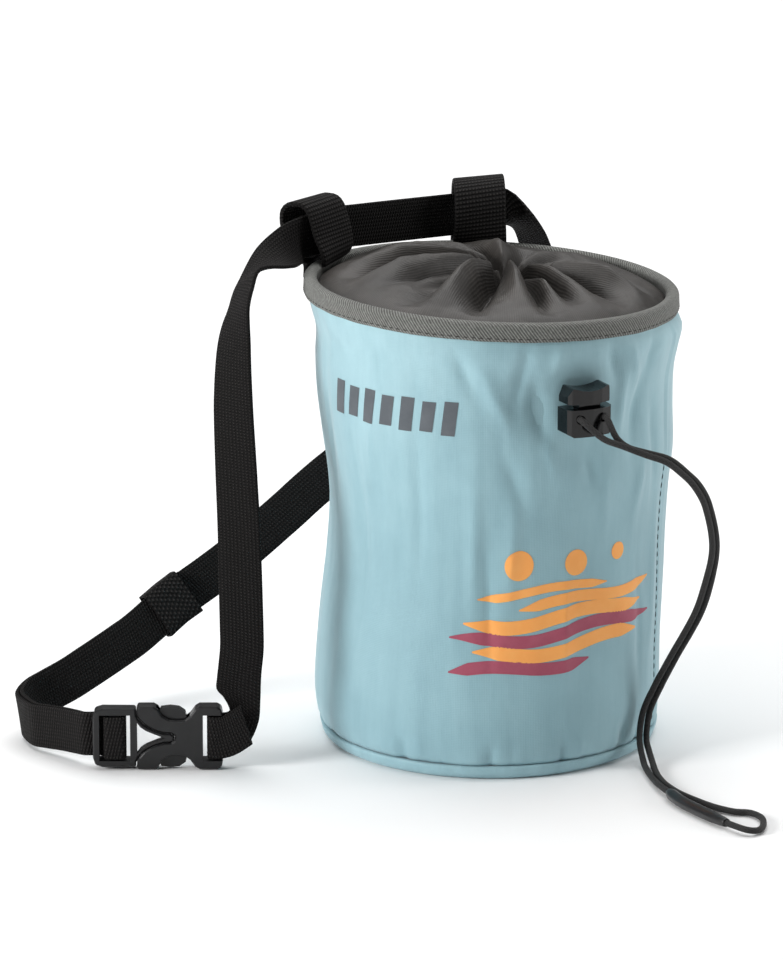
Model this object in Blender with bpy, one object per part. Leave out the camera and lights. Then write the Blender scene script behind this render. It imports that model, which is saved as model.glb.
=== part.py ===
"""A climbing chalk bag on the floor: a fabric bucket with a gathered collar, a waist belt through two
loops, a side-release buckle, a strap keeper, and a cord lock on the front with its pull cord.

Metres, +Z up. The origin is the middle of the base on the floor, and the cord lock faces -Y.
"""

import math

import bmesh
import bpy
from mathutils import Matrix, Vector

MM = 0.001

# Bag: heights are from the floor, radii are to the wall's outer face
BAG_HEIGHT = 160 * MM
RIM_RADIUS = 63.1 * MM
BASE_RADIUS = 58.6 * MM
WALL = 2.0 * MM
BASE_WALL = 2.0 * MM
BASE_EDGE_HEIGHT = 5.0 * MM
BASE_CORNER = 3.6 * MM
CLEAR = 0.3 * MM
RIM_LEAN = 3.3 * MM
RIM_LEAN_TOWARDS = 175.0

# Binding tape folded over the wall's top edge
BINDING_HEIGHT = 6.4 * MM
BINDING_TAPE = 1.0 * MM

# Gathered collar
COLLAR_WALL = 1.5 * MM
COLLAR_RISE = 7.0 * MM
COLLAR_FOLD = 7.0 * MM
MOUTH_RADIUS = 4.6 * MM
GATHER_AWAY = 10.5 * MM
GATHER_RIGHT = 4.0 * MM

# Belt and its loops
WEBBING_WIDTH = 15.0 * MM
WEBBING_THICKNESS = 1.4 * MM
LAYER_GAP = 0.4 * MM
LOOP_WIDTH = 19.0 * MM
LOOP_THICKNESS = 1.6 * MM
LOOP_OVERHANG = 5.0 * MM
LOOP_SPREAD = 31.5
LOOP_MIDDLE = 91.5
LOOP_TURN = 17.0

# The two belt loops, in millimetres: how far the belt lies over the rim, the loop's headroom over the
# webbing, how far its inner and outer plies bulge, and how far its top leans outwards
LOOP_SHAPES = {
    # side: (lift, headroom, inner, outer, lean)
    1: (1.5, 4.6, 2.2, 2.6, 4.5),
    -1: (2.9, 6.6, 4.6, 4.6, 0.0),
}

# Buckle, along the strap
BUCKLE_LENGTH = 44.5 * MM
BUCKLE_THICKNESS = 6.0 * MM
FRAME_SIDE = 3.0 * MM
SLOT_PLAY = 0.7 * MM
OUTER_BAR = 2.2 * MM
MIDDLE_BAR = 4.2 * MM
MIDDLE_BAR_DEPTH = 2.2 * MM
MIDDLE_BAR_FRONT = -1.8 * MM
OUTER_BAR_BACK = 0.6 * MM
INNER_BAR = 1.9 * MM
END_BAR = 2.8 * MM
END_BAR_DEPTH = 2.4 * MM
TONGUE_LENGTH = 13.2 * MM
PRONG_THICKNESS = 2.8 * MM
PRONG_PLAY = 0.3 * MM

# Strap keeper
KEEPER_LENGTH = 14.7 * MM
KEEPER_WALL = 0.7 * MM
TAIL_DROP = 0.4 * MM

# Cord lock
LOCK_TOWARDS = -96.8
LOCK_FOOT = 0.766 * BAG_HEIGHT
LOCK_WIDTH = 17.4 * MM
LOCK_DEPTH = 9.0 * MM
LOCK_BODY_HEIGHT = 9.5 * MM
LOCK_BUTTON_HEIGHT = 5.5 * MM
LOCK_SHOULDER = 2.3 * MM
LOCK_TRAVEL = 1.2 * MM
LOCK_STEM_WIDTH = 8.0 * MM
LOCK_STEM_DEPTH = 4.0 * MM
LOCK_STEM_REACH = 3.6 * MM
LOCK_HOLE = 3.2 * MM
LOCK_HOLE_DEPTH = 1.5 * MM
LOCK_HOLE_SPACING = 8.6 * MM
LOCK_HOLE_HEIGHT = 6.1 * MM

# Pull cord
CORD_DIAMETER = 2.2 * MM
SLEEVE_WALL = 0.6 * MM
CORD_STEP = 6.9 * MM

# The belt and the cord lie in a frame turned from the bag's front: x to the right, y away, z up
LIE_TURN = -34.0

AROUND = 60

# The wall's sections: height as a share of the bag's height; radius, and the middle's shift to the
# left and to the front (in the lying frame), as shares of the rim's radius
WALL_SECTIONS = (
    # height, radius, left, front
    (0.033, 0.928, 0.017, 0.040),
    (0.08, 0.944, 0.027, 0.034),
    (0.14, 0.948, 0.026, 0.025),
    (0.22, 0.941, 0.017, 0.016),
    (0.30, 0.932, 0.0, 0.008),
    (0.38, 0.921, -0.019, 0.0),
    (0.47, 0.917, -0.029, 0.0),
    (0.56, 0.928, -0.031, 0.0),
    (0.65, 0.955, -0.027, 0.0),
    (0.74, 0.967, -0.010, 0.0),
    (0.82, 0.974, -0.008, -0.004),
    (0.87, 0.984, -0.022, -0.006),
    (0.91, 1.006, -0.018, -0.010),
    (0.94, 1.0, 0.010, -0.016),
)

# Soft dents and bulges of the wall: bearing in degrees, height as a share of the bag's height, half
# widths in degrees and as a share of the height, and depth as a share of the rim's radius
WALL_DENTS = (
    # bearing, height, half_angle, half_height, depth
    (-112, 0.80, 9, 0.07, -0.022),
    (-96, 0.70, 12, 0.045, -0.016),
    (-74, 0.76, 9, 0.09, -0.018),
    (-84, 0.90, 12, 0.03, -0.012),
    (-128, 0.55, 14, 0.10, 0.012),
    (-70, 0.30, 18, 0.10, 0.012),
    (30, 0.55, 24, 0.15, -0.015),
    (85, 0.30, 26, 0.12, 0.012),
    (100, 0.72, 22, 0.12, -0.014),
    (200, 0.35, 14, 0.14, -0.010),
)

# Collar from its seam at the rim (0) to the mouth (1): its height as a share of the rise over the rim,
# and how much of the folds shows there
COLLAR_PROFILE = (
    # inward, rise, folds
    (0.0, -0.49, 0.0),
    (0.10, 0.02, 0.12),
    (0.22, 0.36, 0.36),
    (0.37, 0.58, 0.62),
    (0.53, 0.66, 0.86),
    (0.69, 0.60, 1.0),
    (0.83, 0.42, 1.0),
    (0.94, 0.16, 0.8),
    (1.0, -0.30, 0.45),
)

# Ridges of the gathered collar: bearing in the lying frame, half width in degrees, height as a share
COLLAR_RIDGES = (
    # bearing, half_angle, height
    (10, 15, 0.55),
    (50, 14, 0.60),
    (92, 15, 0.75),
    (136, 17, 0.80),
    (176, 13, 0.55),
    (210, 12, 0.60),
    (243, 11, 1.0),
    (284, 10, 0.85),
    (312, 9, 0.95),
    (346, 12, 0.60),
)

# Belt loop in its own plane, from its inner foot over the top to its outer foot: side as a share of
# the bulge beyond the foot, height as a share of the loop's height, turn as a share of the loop's turn
LOOP_ROWS = (
    # side, bulge, height, turn
    (-1, 0.0, -0.015, 0.0),
    (-1, 0.45, 0.05, 0.2),
    (-1, 0.85, 0.20, 0.6),
    (-1, 1.0, 0.45, 1.0),
    (-1, 1.0, 0.66, 1.0),
    (-1, 0.62, 0.87, 1.0),
    (-1, -0.2, 0.98, 1.0),
    (0, 0.0, 1.0, 1.0),
    (1, -0.2, 0.98, 1.0),
    (1, 0.62, 0.87, 1.0),
    (1, 1.0, 0.66, 1.0),
    (1, 1.0, 0.45, 1.0),
    (1, 0.85, 0.20, 0.9),
    (1, 0.45, 0.05, 0.5),
    (1, 0.0, -0.015, 0.0),
)

# Belt from the buckle up to the left loop: the middle of the webbing as shares of the rim's radius
# and of the bag's height, and the direction across the webbing
STRAP_UP = (
    # x, y, z, across_x, across_y, across_z
    (-1.362, -0.735, 0.265, 1.0, -0.03, 0.0),
    (-1.366, -0.684, 0.369, 1.0, -0.10, 0.0),
    (-1.376, -0.618, 0.517, 1.0, -0.25, 0.0),
    (-1.391, -0.539, 0.641, 0.95, -0.33, 0.05),
    (-1.407, -0.428, 0.783, 0.87, -0.45, 0.18),
    (-1.403, -0.317, 0.893, 0.74, -0.63, 0.24),
    (-1.378, -0.238, 0.964, 0.48, -0.81, 0.33),
    (-1.320, -0.143, 1.026, 0.46, -0.75, 0.47),
    (-1.216, 0.0, 1.043, 0.85, -0.51, -0.11),
)

# Belt from the right loop round behind the bag, down to the floor at the left and on to the buckle
STRAP_ROUND = (
    # x, y, z, across_x, across_y, across_z
    (0.138, 1.046, 1.040, -0.72, 0.58, -0.39),
    (0.214, 1.109, 1.005, -0.70, 0.71, -0.07),
    (0.262, 1.150, 0.955, -0.70, 0.70, -0.16),
    (0.325, 1.170, 0.905, -0.77, 0.59, -0.23),
    (0.400, 1.220, 0.850, -0.70, 0.69, 0.17),
    (0.390, 1.310, 0.785, -0.31, 0.81, 0.50),
    (0.220, 1.360, 0.715, -0.05, 1.0, 0.06),
    (-0.160, 1.300, 0.635, 0.16, 0.71, -0.68),
    (-0.500, 1.170, 0.567, 0.35, -0.10, -1.0),
    (-0.927, 0.951, 0.457, 0.45, -0.20, -1.0),
    (-1.122, 0.840, 0.398, 0.45, -0.20, -1.0),
    (-1.456, 0.666, 0.299, 0.42, -0.20, -1.0),
    (-1.788, 0.460, 0.222, 0.38, -0.22, -1.0),
    (-1.979, 0.317, 0.169, 0.32, -0.22, -1.0),
    (-2.340, 0.095, 0.094, 0.28, -0.20, -1.0),
    (-2.520, -0.050, 0.070, 0.24, -0.20, -1.0),
    (-2.590, -0.238, 0.056, 0.16, -0.12, -1.0),
    (-2.520, -0.412, 0.056, 0.06, 0.0, -1.0),
    (-2.360, -0.560, 0.064, 0.0, 0.0, -1.0),
)
KEEPER_AT = 12.05
TAIL_END_AT = 11.45

# Where the webbing turns up from the buckle: both its edges and its depth, in webbing widths from the
# buckle's middle (x to the right, z up, depth away)
FOLD_ROWS = (
    # inner_x, inner_z, outer_x, outer_z, depth
    (1.54, 0.51, 1.60, -0.50, 0.155),
    (1.64, 0.57, 1.92, -0.38, 0.135),
    (1.60, 0.72, 2.12, -0.14, 0.11),
    (1.49, 0.92, 2.30, 0.33, 0.08),
    (1.34, 1.11, 2.34, 0.84, 0.06),
    (1.355, 1.42, 2.36, 1.38, 0.04),
)
# The sewn end of the webbing, in front: the same columns
SEWN_END_ROWS = (
    # upper_x, upper_z, lower_x, lower_z, depth
    (1.885, 0.80, 2.16, -0.14, -0.175),
    (1.76, 0.71, 1.98, -0.27, -0.175),
    (1.62, 0.61, 1.74, -0.41, -0.175),
)

BUCKLE_AT = (-1.819, -0.737)

# Upper half of the tongue's outer edge and of its window: x as a share of the tongue's length from
# the seam, z as a share of half the buckle's height
TONGUE_EDGE = ((0.0, 0.92), (0.01, 0.72), (0.06, 0.60), (0.20, 0.42), (0.35, 0.31), (0.53, 0.21),
               (0.72, 0.145), (0.90, 0.135), (0.98, 0.07), (1.0, 0.0))
TONGUE_WINDOW = ((0.035, 0.50), (0.12, 0.36), (0.27, 0.235), (0.48, 0.13), (0.76, 0.0))
# Upper half of the female's outer edge: x as a share of the length from the seam to the end, z as a
# share of half the buckle's height
FEMALE_EDGE = ((0.0, 0.95), (0.03, 1.0), (0.20, 1.0), (0.25, 0.92), (0.30, 0.70), (0.38, 0.58),
               (0.48, 0.56), (0.56, 0.58), (0.62, 0.70), (0.68, 0.92), (0.73, 1.0), (0.93, 1.0),
               (0.985, 0.92), (1.0, 0.70))

# Upper prong's head: x as a share of the length from the seam to the end, z as before
PRONG_HEAD = ((0.27, 0.34), (0.27, 0.80), (0.29, 0.93), (0.40, 0.965), (0.50, 0.93), (0.57, 0.80),
              (0.585, 0.62), (0.56, 0.34))

# Plan of the cord lock, right half: side as a share of half its width, reach as a share of its depth
LOCK_PLAN = ((0.0, 1.0), (0.46, 0.955), (0.85, 0.85), (0.965, 0.68), (1.0, 0.0))

# Pull cord's route in the lying frame, in millimetres: out of the left hole, down to the floor,
# through the sleeve, round the end loop and back to the right hole
CORD_ROUTE = (
    (36.0, -69.4, 123.4),
    (42.6, -70.2, 121.0),
    (50.1, -68.9, 117.7),
    (57.5, -66.0, 114.2),
    (63.6, -61.9, 108.3),
    (70.0, -57.4, 98.6),
    (73.8, -50.2, 80.5),
    (71.5, -44.0, 64.1),
    (68.1, -40.0, 52.2),
    (61.6, -37.0, 38.7),
    (55.4, -36.0, 26.2),
    (51.5, -37.0, 17.3),
    (50.2, -40.0, 8.4),
    (51.4, -47.0, 2.3),
    (53.4, -59.4, 1.4),
    (56.0, -71.0, 1.9),
    (59.0, -80.0, 2.2),
    (63.0, -90.0, 2.2),
    (69.9, -101.3, 2.2),
    (76.9, -111.5, 2.2),
    (83.2, -118.3, 2.1),
    (87.3, -117.1, 1.6),
    (89.2, -110.7, 1.3),
    (88.9, -103.5, 1.3),
    (85.4, -98.5, 1.3),
    (79.9, -97.1, 1.3),
    (73.2, -91.9, 1.3),
    (67.1, -84.5, 1.3),
    (62.1, -77.5, 1.4),
    (58.5, -70.0, 1.5),
    (55.8, -58.8, 1.4),
    (54.4, -46.8, 2.3),
    (52.6, -38.2, 8.4),
    (53.8, -35.2, 16.7),
    (57.5, -34.2, 25.2),
    (63.5, -35.1, 37.7),
    (70.1, -38.1, 51.2),
    (73.6, -42.1, 63.6),
    (75.4, -47.9, 80.7),
    (71.5, -54.4, 98.6),
    (65.6, -59.0, 107.6),
    (58.9, -62.9, 114.2),
    (51.3, -65.6, 117.3),
    (44.6, -66.8, 119.6),
    (40.4, -66.2, 123.0),
)
SLEEVE_FROM = 18
SLEEVE_TO = 21.7

MATERIALS = {
    # colour, roughness
    "shell_fabric": ((0.36, 0.58, 0.64), 0.75),
    "binding_tape": ((0.19, 0.185, 0.17), 0.85),
    "collar_fabric": ((0.115, 0.105, 0.098), 0.8),
    "webbing": ((0.022, 0.020, 0.020), 0.85),
    "buckle_plastic": ((0.03, 0.03, 0.031), 0.45),
    "lock_plastic": ((0.016, 0.016, 0.017), 0.25),
    "cord_braid": ((0.014, 0.013, 0.013), 0.8),
    "shrink_sleeve": ((0.018, 0.018, 0.019), 0.4),
    "keeper_elastic": ((0.02, 0.019, 0.019), 0.85),
}


def interpolate(rows, at, column):
    """The column's value at this value of the first column, on a smooth curve through the rows."""
    first = [row[0] for row in rows]
    if at <= first[0]:
        return rows[0][column]
    if at >= first[-1]:
        return rows[-1][column]
    i = max(k for k in range(len(rows) - 1) if first[k] <= at)
    share = (at - first[i]) / (first[i + 1] - first[i])

    def slope(k):
        low, high = max(k - 1, 0), min(k + 1, len(rows) - 1)
        return (rows[high][column] - rows[low][column]) / (first[high] - first[low])

    step = first[i + 1] - first[i]
    square, cube = share * share, share**3
    return (
        (2 * cube - 3 * square + 1) * rows[i][column]
        + (cube - 2 * square + share) * step * slope(i)
        + (3 * square - 2 * cube) * rows[i + 1][column]
        + (cube - square) * step * slope(i + 1)
    )


def between(angle, middle):
    """The signed angle from the middle to this bearing, in degrees."""
    return (angle - middle + 180) % 360 - 180


def bell(offset, half_width):
    return math.exp(-0.5 * (offset / (0.6 * half_width)) ** 2)


def polar(radius, bearing, height):
    angle = math.radians(bearing)
    return Vector((radius * math.cos(angle), radius * math.sin(angle), height))


def lie(x, y, z):
    """A point of the lying frame in the bag's own frame."""
    return Matrix.Rotation(math.radians(LIE_TURN), 4, "Z") @ Vector((x, y, z))


def rim_height(bearing):
    return BAG_HEIGHT + RIM_LEAN * math.cos(math.radians(bearing - RIM_LEAN_TOWARDS))


def wall_height(bearing, share):
    """The height of a section of the wall. The last one is at the binding's lower edge."""
    first, last = WALL_SECTIONS[0][0], WALL_SECTIONS[-1][0]
    foot = BASE_EDGE_HEIGHT + CLEAR
    top = rim_height(bearing) - BINDING_HEIGHT - CLEAR
    return foot + (share - first) / (last - first) * (top - foot)


def wall_radius(bearing, height):
    """The wall's outer radius. Under the binding it doesn't change with the height."""
    first, last = WALL_SECTIONS[0][0], WALL_SECTIONS[-1][0]
    foot, top = wall_height(bearing, first), wall_height(bearing, last)
    share = min(first + (height - foot) / (top - foot) * (last - first), last)
    turned = math.radians(bearing - LIE_TURN)
    left = interpolate(WALL_SECTIONS, share, 2) * -math.cos(turned)
    front = interpolate(WALL_SECTIONS, share, 3) * -math.sin(turned)
    taper = BASE_RADIUS / (WALL_SECTIONS[0][1] * RIM_RADIUS)
    foot = WALL_SECTIONS[0][0]
    fit = 1 + (taper - 1) * (1 - min(1, (share - foot) / (1 - foot)))
    dents = sum(
        depth * bell(between(bearing, middle), half_angle) * bell(share - level, half_height)
        for middle, level, half_angle, half_height, depth in WALL_DENTS
    )
    return RIM_RADIUS * (interpolate(WALL_SECTIONS, share, 1) * fit + left + front + dents)


def smooth_path(points, step):
    """Points along a smooth curve through the given ones, with each one's place on the list."""
    path = []
    for i in range(len(points) - 1):
        before, after = points[max(i - 1, 0)], points[min(i + 2, len(points) - 1)]
        start, end = points[i], points[i + 1]
        count = max(1, round((end - start).length / step))
        for k in range(count):
            t = k / count
            path.append(
                (
                    i + t,
                    0.5 * (
                        2 * start
                        + (end - before) * t
                        + (2 * before - 5 * start + 4 * end - after) * t**2
                        + (3 * start - before - 3 * end + after) * t**3
                    ),
                )
            )
    return path + [(len(points) - 1.0, points[-1])]


def make_material(name):
    colour, roughness = MATERIALS[name]
    material = bpy.data.materials.new(name)
    material.use_nodes = True
    shader = material.node_tree.nodes["Principled BSDF"]
    shader.inputs["Base Color"].default_value = (*colour, 1)
    shader.inputs["Roughness"].default_value = roughness
    shader.inputs["Metallic"].default_value = 0
    return material


def make_object(name, mesh_builder, material=None, matrix=None, smooth=40):
    """One object from a bmesh, its faces pointing out."""
    bmesh.ops.recalc_face_normals(mesh_builder, faces=mesh_builder.faces)
    mesh = bpy.data.meshes.new(name)
    mesh_builder.to_mesh(mesh)
    mesh_builder.free()
    if smooth:
        mesh.shade_smooth()
        mesh.set_sharp_from_angle(angle=math.radians(smooth))
    if material:
        mesh.materials.append(material)
    thing = bpy.data.objects.new(name, mesh)
    if matrix:
        thing.matrix_world = matrix
    bpy.context.scene.collection.objects.link(thing)
    return thing


def ring_solid(name, stations, material):
    """A closed ring: each station is a closed outline, and the last one joins the first."""
    mesh = bmesh.new()
    rows = [[mesh.verts.new(point) for point in station] for station in stations]
    for i, row in enumerate(rows):
        following = rows[(i + 1) % len(rows)]
        for k in range(len(row)):
            after = (k + 1) % len(row)
            mesh.faces.new((row[k], row[after], following[after], following[k]))
    return make_object(name, mesh, material)


def swept_solid(name, stations, material, smooth=40):
    """A solid through outlines, closed at both ends."""
    mesh = bmesh.new()
    rows = [[mesh.verts.new(point) for point in station] for station in stations]
    for row, following in zip(rows, rows[1:]):
        for k in range(len(row)):
            after = (k + 1) % len(row)
            mesh.faces.new((row[k], row[after], following[after], following[k]))
    mesh.faces.new(rows[0][::-1])
    mesh.faces.new(rows[-1])
    return make_object(name, mesh, material, smooth=smooth)


def prism(name, outline, low, high, matrix, material=None, axis="y"):
    """An outline in x and z (or x and y) extruded along the third axis from low to high."""
    mesh = bmesh.new()

    def place(point, depth):
        return (point[0], depth, point[1]) if axis == "y" else (point[0], point[1], depth)

    face = mesh.faces.new([mesh.verts.new(place(point, low)) for point in outline])
    raised = bmesh.ops.extrude_face_region(mesh, geom=[face])
    moved = [item for item in raised["geom"] if isinstance(item, bmesh.types.BMVert)]
    shift = (0, high - low, 0) if axis == "y" else (0, 0, high - low)
    bmesh.ops.translate(mesh, verts=moved, vec=shift)
    return make_object(name, mesh, material, matrix)


def box(name, low, high, matrix):
    outline = ((low[0], low[2]), (high[0], low[2]), (high[0], high[2]), (low[0], high[2]))
    return prism(name, outline, low[1], high[1], matrix)


def soften(thing, width):
    bevel = thing.modifiers.new("soften", "BEVEL")
    bevel.width = width
    bevel.segments = 1
    bevel.limit_method = "ANGLE"
    bevel.angle_limit = math.radians(50)


def combine(thing, other, operation):
    """A Boolean with a helper object, which isn't rendered."""
    boolean = thing.modifiers.new(other.name, "BOOLEAN")
    boolean.operation = operation
    boolean.solver = "EXACT"
    boolean.object = other
    other.hide_render = True
    other.display_type = "WIRE"


def both_halves(upper):
    """A closed outline from its upper half, listed from left to right."""
    lower = [(x, -z) for x, z in reversed(upper) if abs(z) > 1e-9]
    return list(upper) + lower


def make_shell(material):
    """The side wall: open at the top and over the base panel."""
    stations = []
    for k in range(AROUND):
        bearing = 360 * k / AROUND
        heights = [wall_height(bearing, row[0]) for row in WALL_SECTIONS]
        heights.append(rim_height(bearing) - BINDING_TAPE - CLEAR)
        outer = [polar(wall_radius(bearing, height), bearing, height) for height in heights]
        inner = [polar(wall_radius(bearing, height) - WALL, bearing, height) for height in heights]
        stations.append(outer + inner[::-1])
    return ring_solid("shell", stations, material)


def make_base_panel(material):
    """A flat bottom whose edge turns up to the wall's lower seam."""
    mesh = bmesh.new()
    rows = []
    for k in range(AROUND):
        bearing = 360 * k / AROUND
        edge = wall_radius(bearing, BASE_EDGE_HEIGHT + CLEAR)
        flat = edge - BASE_CORNER
        profile = [(flat, 0.0)]
        for turn in (30, 60, 90):
            angle = math.radians(turn)
            profile.append(
                (flat + BASE_CORNER * math.sin(angle), BASE_EDGE_HEIGHT * (1 - math.cos(angle)))
            )
        inside = BASE_CORNER - BASE_WALL
        for turn in (90, 45, 0):
            angle = math.radians(turn)
            rise = BASE_EDGE_HEIGHT - (BASE_EDGE_HEIGHT - BASE_WALL) * math.cos(angle)
            profile.append((flat + inside * math.sin(angle), rise))
        rows.append([mesh.verts.new(polar(radius, bearing, height)) for radius, height in profile])
    below, above = mesh.verts.new((0, 0, 0)), mesh.verts.new((0, 0, BASE_WALL))
    for i, row in enumerate(rows):
        following = rows[(i + 1) % len(rows)]
        for k in range(len(row) - 1):
            mesh.faces.new((row[k], row[k + 1], following[k + 1], following[k]))
        mesh.faces.new((below, row[0], following[0]))
        mesh.faces.new((above, following[-1], row[-1]))
    return make_object("base_panel", mesh, material)


def make_binding(material):
    """Tape folded over the wall's top edge, with the wall in its groove."""
    stations = []
    for k in range(AROUND):
        bearing = 360 * k / AROUND
        top = rim_height(bearing)
        wall = wall_radius(bearing, top)
        outside = wall + CLEAR + BINDING_TAPE
        inside = wall - WALL - CLEAR - BINDING_TAPE
        low = top - BINDING_HEIGHT
        round_off = BINDING_TAPE
        profile = (
            (outside, low),
            (outside, top - round_off),
            (outside - 0.8 * round_off, top),
            (inside + 0.8 * round_off, top),
            (inside, top - round_off),
            (inside, low),
            (inside + BINDING_TAPE, low),
            (inside + BINDING_TAPE, top - BINDING_TAPE),
            (outside - BINDING_TAPE, top - BINDING_TAPE),
            (outside - BINDING_TAPE, low),
        )
        stations.append([polar(radius, bearing, height) for radius, height in profile])
    return ring_solid("rim_binding", stations, material)


def collar_point(bearing, inward):
    """The collar's upper side at this bearing (bag frame) and share of the way to the mouth."""
    top = rim_height(bearing)
    seam = wall_radius(bearing, top) - WALL - 2 * CLEAR - BINDING_TAPE
    centre = lie(GATHER_RIGHT, GATHER_AWAY, 0)
    spot = polar(seam, bearing, 0).lerp(centre + polar(MOUTH_RADIUS, bearing, 0), inward)
    ridges = sum(
        height * bell(between(bearing - LIE_TURN, middle), half_angle)
        for middle, half_angle, height in COLLAR_RIDGES
    )
    valley = 0.45
    spot.z = (
        top
        + COLLAR_RISE * interpolate(COLLAR_PROFILE, inward, 1)
        + COLLAR_FOLD * interpolate(COLLAR_PROFILE, inward, 2) * (ridges - valley)
    )
    return spot


def make_collar(material):
    """The gathered nylon collar: a ring of folds from the rim's inside to a small open mouth."""
    stations = []
    for k in range(AROUND):
        bearing = 360 * k / AROUND
        upper = [collar_point(bearing, row[0]) for row in COLLAR_PROFILE]
        lower = [point - Vector((0, 0, COLLAR_WALL)) for point in upper]
        stations.append(upper + lower[::-1])
    return ring_solid("collar", stations, material)


def ribbon_stations(edges, thickness):
    """Four-cornered outlines across a strap, from its rows of two edge points."""
    middles = [(a + b) / 2 for a, b in edges]
    stations = []
    for i, (a, b) in enumerate(edges):
        along = middles[min(i + 1, len(edges) - 1)] - middles[max(i - 1, 0)]
        normal = along.cross(a - b).normalized() * (thickness / 2)
        stations.append([a + normal, a - normal, b - normal, b + normal])
    return stations


def loop_frame(bearing, side):
    """A belt loop's middle on the rim's top, and its directions along the rim and outwards."""
    top = rim_height(bearing)
    middle = wall_radius(bearing, top) - WALL / 2
    outwards = polar(1, bearing, 0)
    along = Vector((-outwards.y, outwards.x, 0))
    return polar(middle, bearing, top), along, outwards, -side * LOOP_TURN


def make_loop(name, bearing, side, material):
    """A belt loop: one foot inside the binding, an arch over the belt, one foot outside."""
    origin, along, outwards, turn = loop_frame(bearing, side)
    foot = WALL / 2 + CLEAR + BINDING_TAPE + CLEAR + LOOP_THICKNESS / 2
    _, headroom, inner, outer, lean = (value * MM for value in LOOP_SHAPES[side])
    height = WEBBING_WIDTH + headroom + LOOP_THICKNESS / 2
    points, turns = [], []
    for hand, bulge, level, turned in LOOP_ROWS:
        side_bulge = inner if hand < 0 else outer
        reach = hand * (foot + bulge * (side_bulge if bulge > 0 else foot))
        reach += lean * math.sin(math.pi / 2 * max(level - 0.12, 0) / 0.88)
        points.append(Vector((reach, level * height, 0)))
        turns.append(turn * turned)
    points.append(Vector((foot, -LOOP_OVERHANG, 0)))
    turns.append(0.0)
    edges = []
    for place, point in smooth_path(points, 5 * MM):
        low = min(int(place), len(turns) - 2)
        turned = turns[low] + (turns[low + 1] - turns[low]) * (place - low)
        across = Matrix.Rotation(math.radians(turned), 3, "Z") @ along
        spot = origin + outwards * point.x + Vector((0, 0, point.y))
        edges.append((spot + across * LOOP_WIDTH / 2, spot - across * LOOP_WIDTH / 2))
    return swept_solid(name, ribbon_stations(edges, LOOP_THICKNESS), material)


def buckle_middle():
    height = WEBBING_WIDTH + 2 * (SLOT_PLAY + FRAME_SIDE)
    x, y = BUCKLE_AT
    return Vector((x * RIM_RADIUS, y * RIM_RADIUS, height / 2 + CLEAR))


def buckle_matrix():
    turn = Matrix.Rotation(math.radians(LIE_TURN), 4, "Z")
    return turn @ Matrix.Translation(buckle_middle())


def male_bars():
    """Where the male half's bars begin and end along the buckle, from its left end."""
    slot = WEBBING_THICKNESS + 1.8 * MM
    outer_end = -BUCKLE_LENGTH / 2 + OUTER_BAR
    middle_start = outer_end + slot
    middle_end = middle_start + MIDDLE_BAR
    inner_start = middle_end + slot
    return outer_end, middle_start, middle_end, inner_start, inner_start + INNER_BAR


def female_slot():
    """The female half's slot and end bar along the buckle."""
    bar_end = BUCKLE_LENGTH / 2 - 0.8 * MM
    bar_start = bar_end - END_BAR
    return bar_start - WEBBING_THICKNESS - 1.9 * MM, bar_start, bar_end


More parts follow.
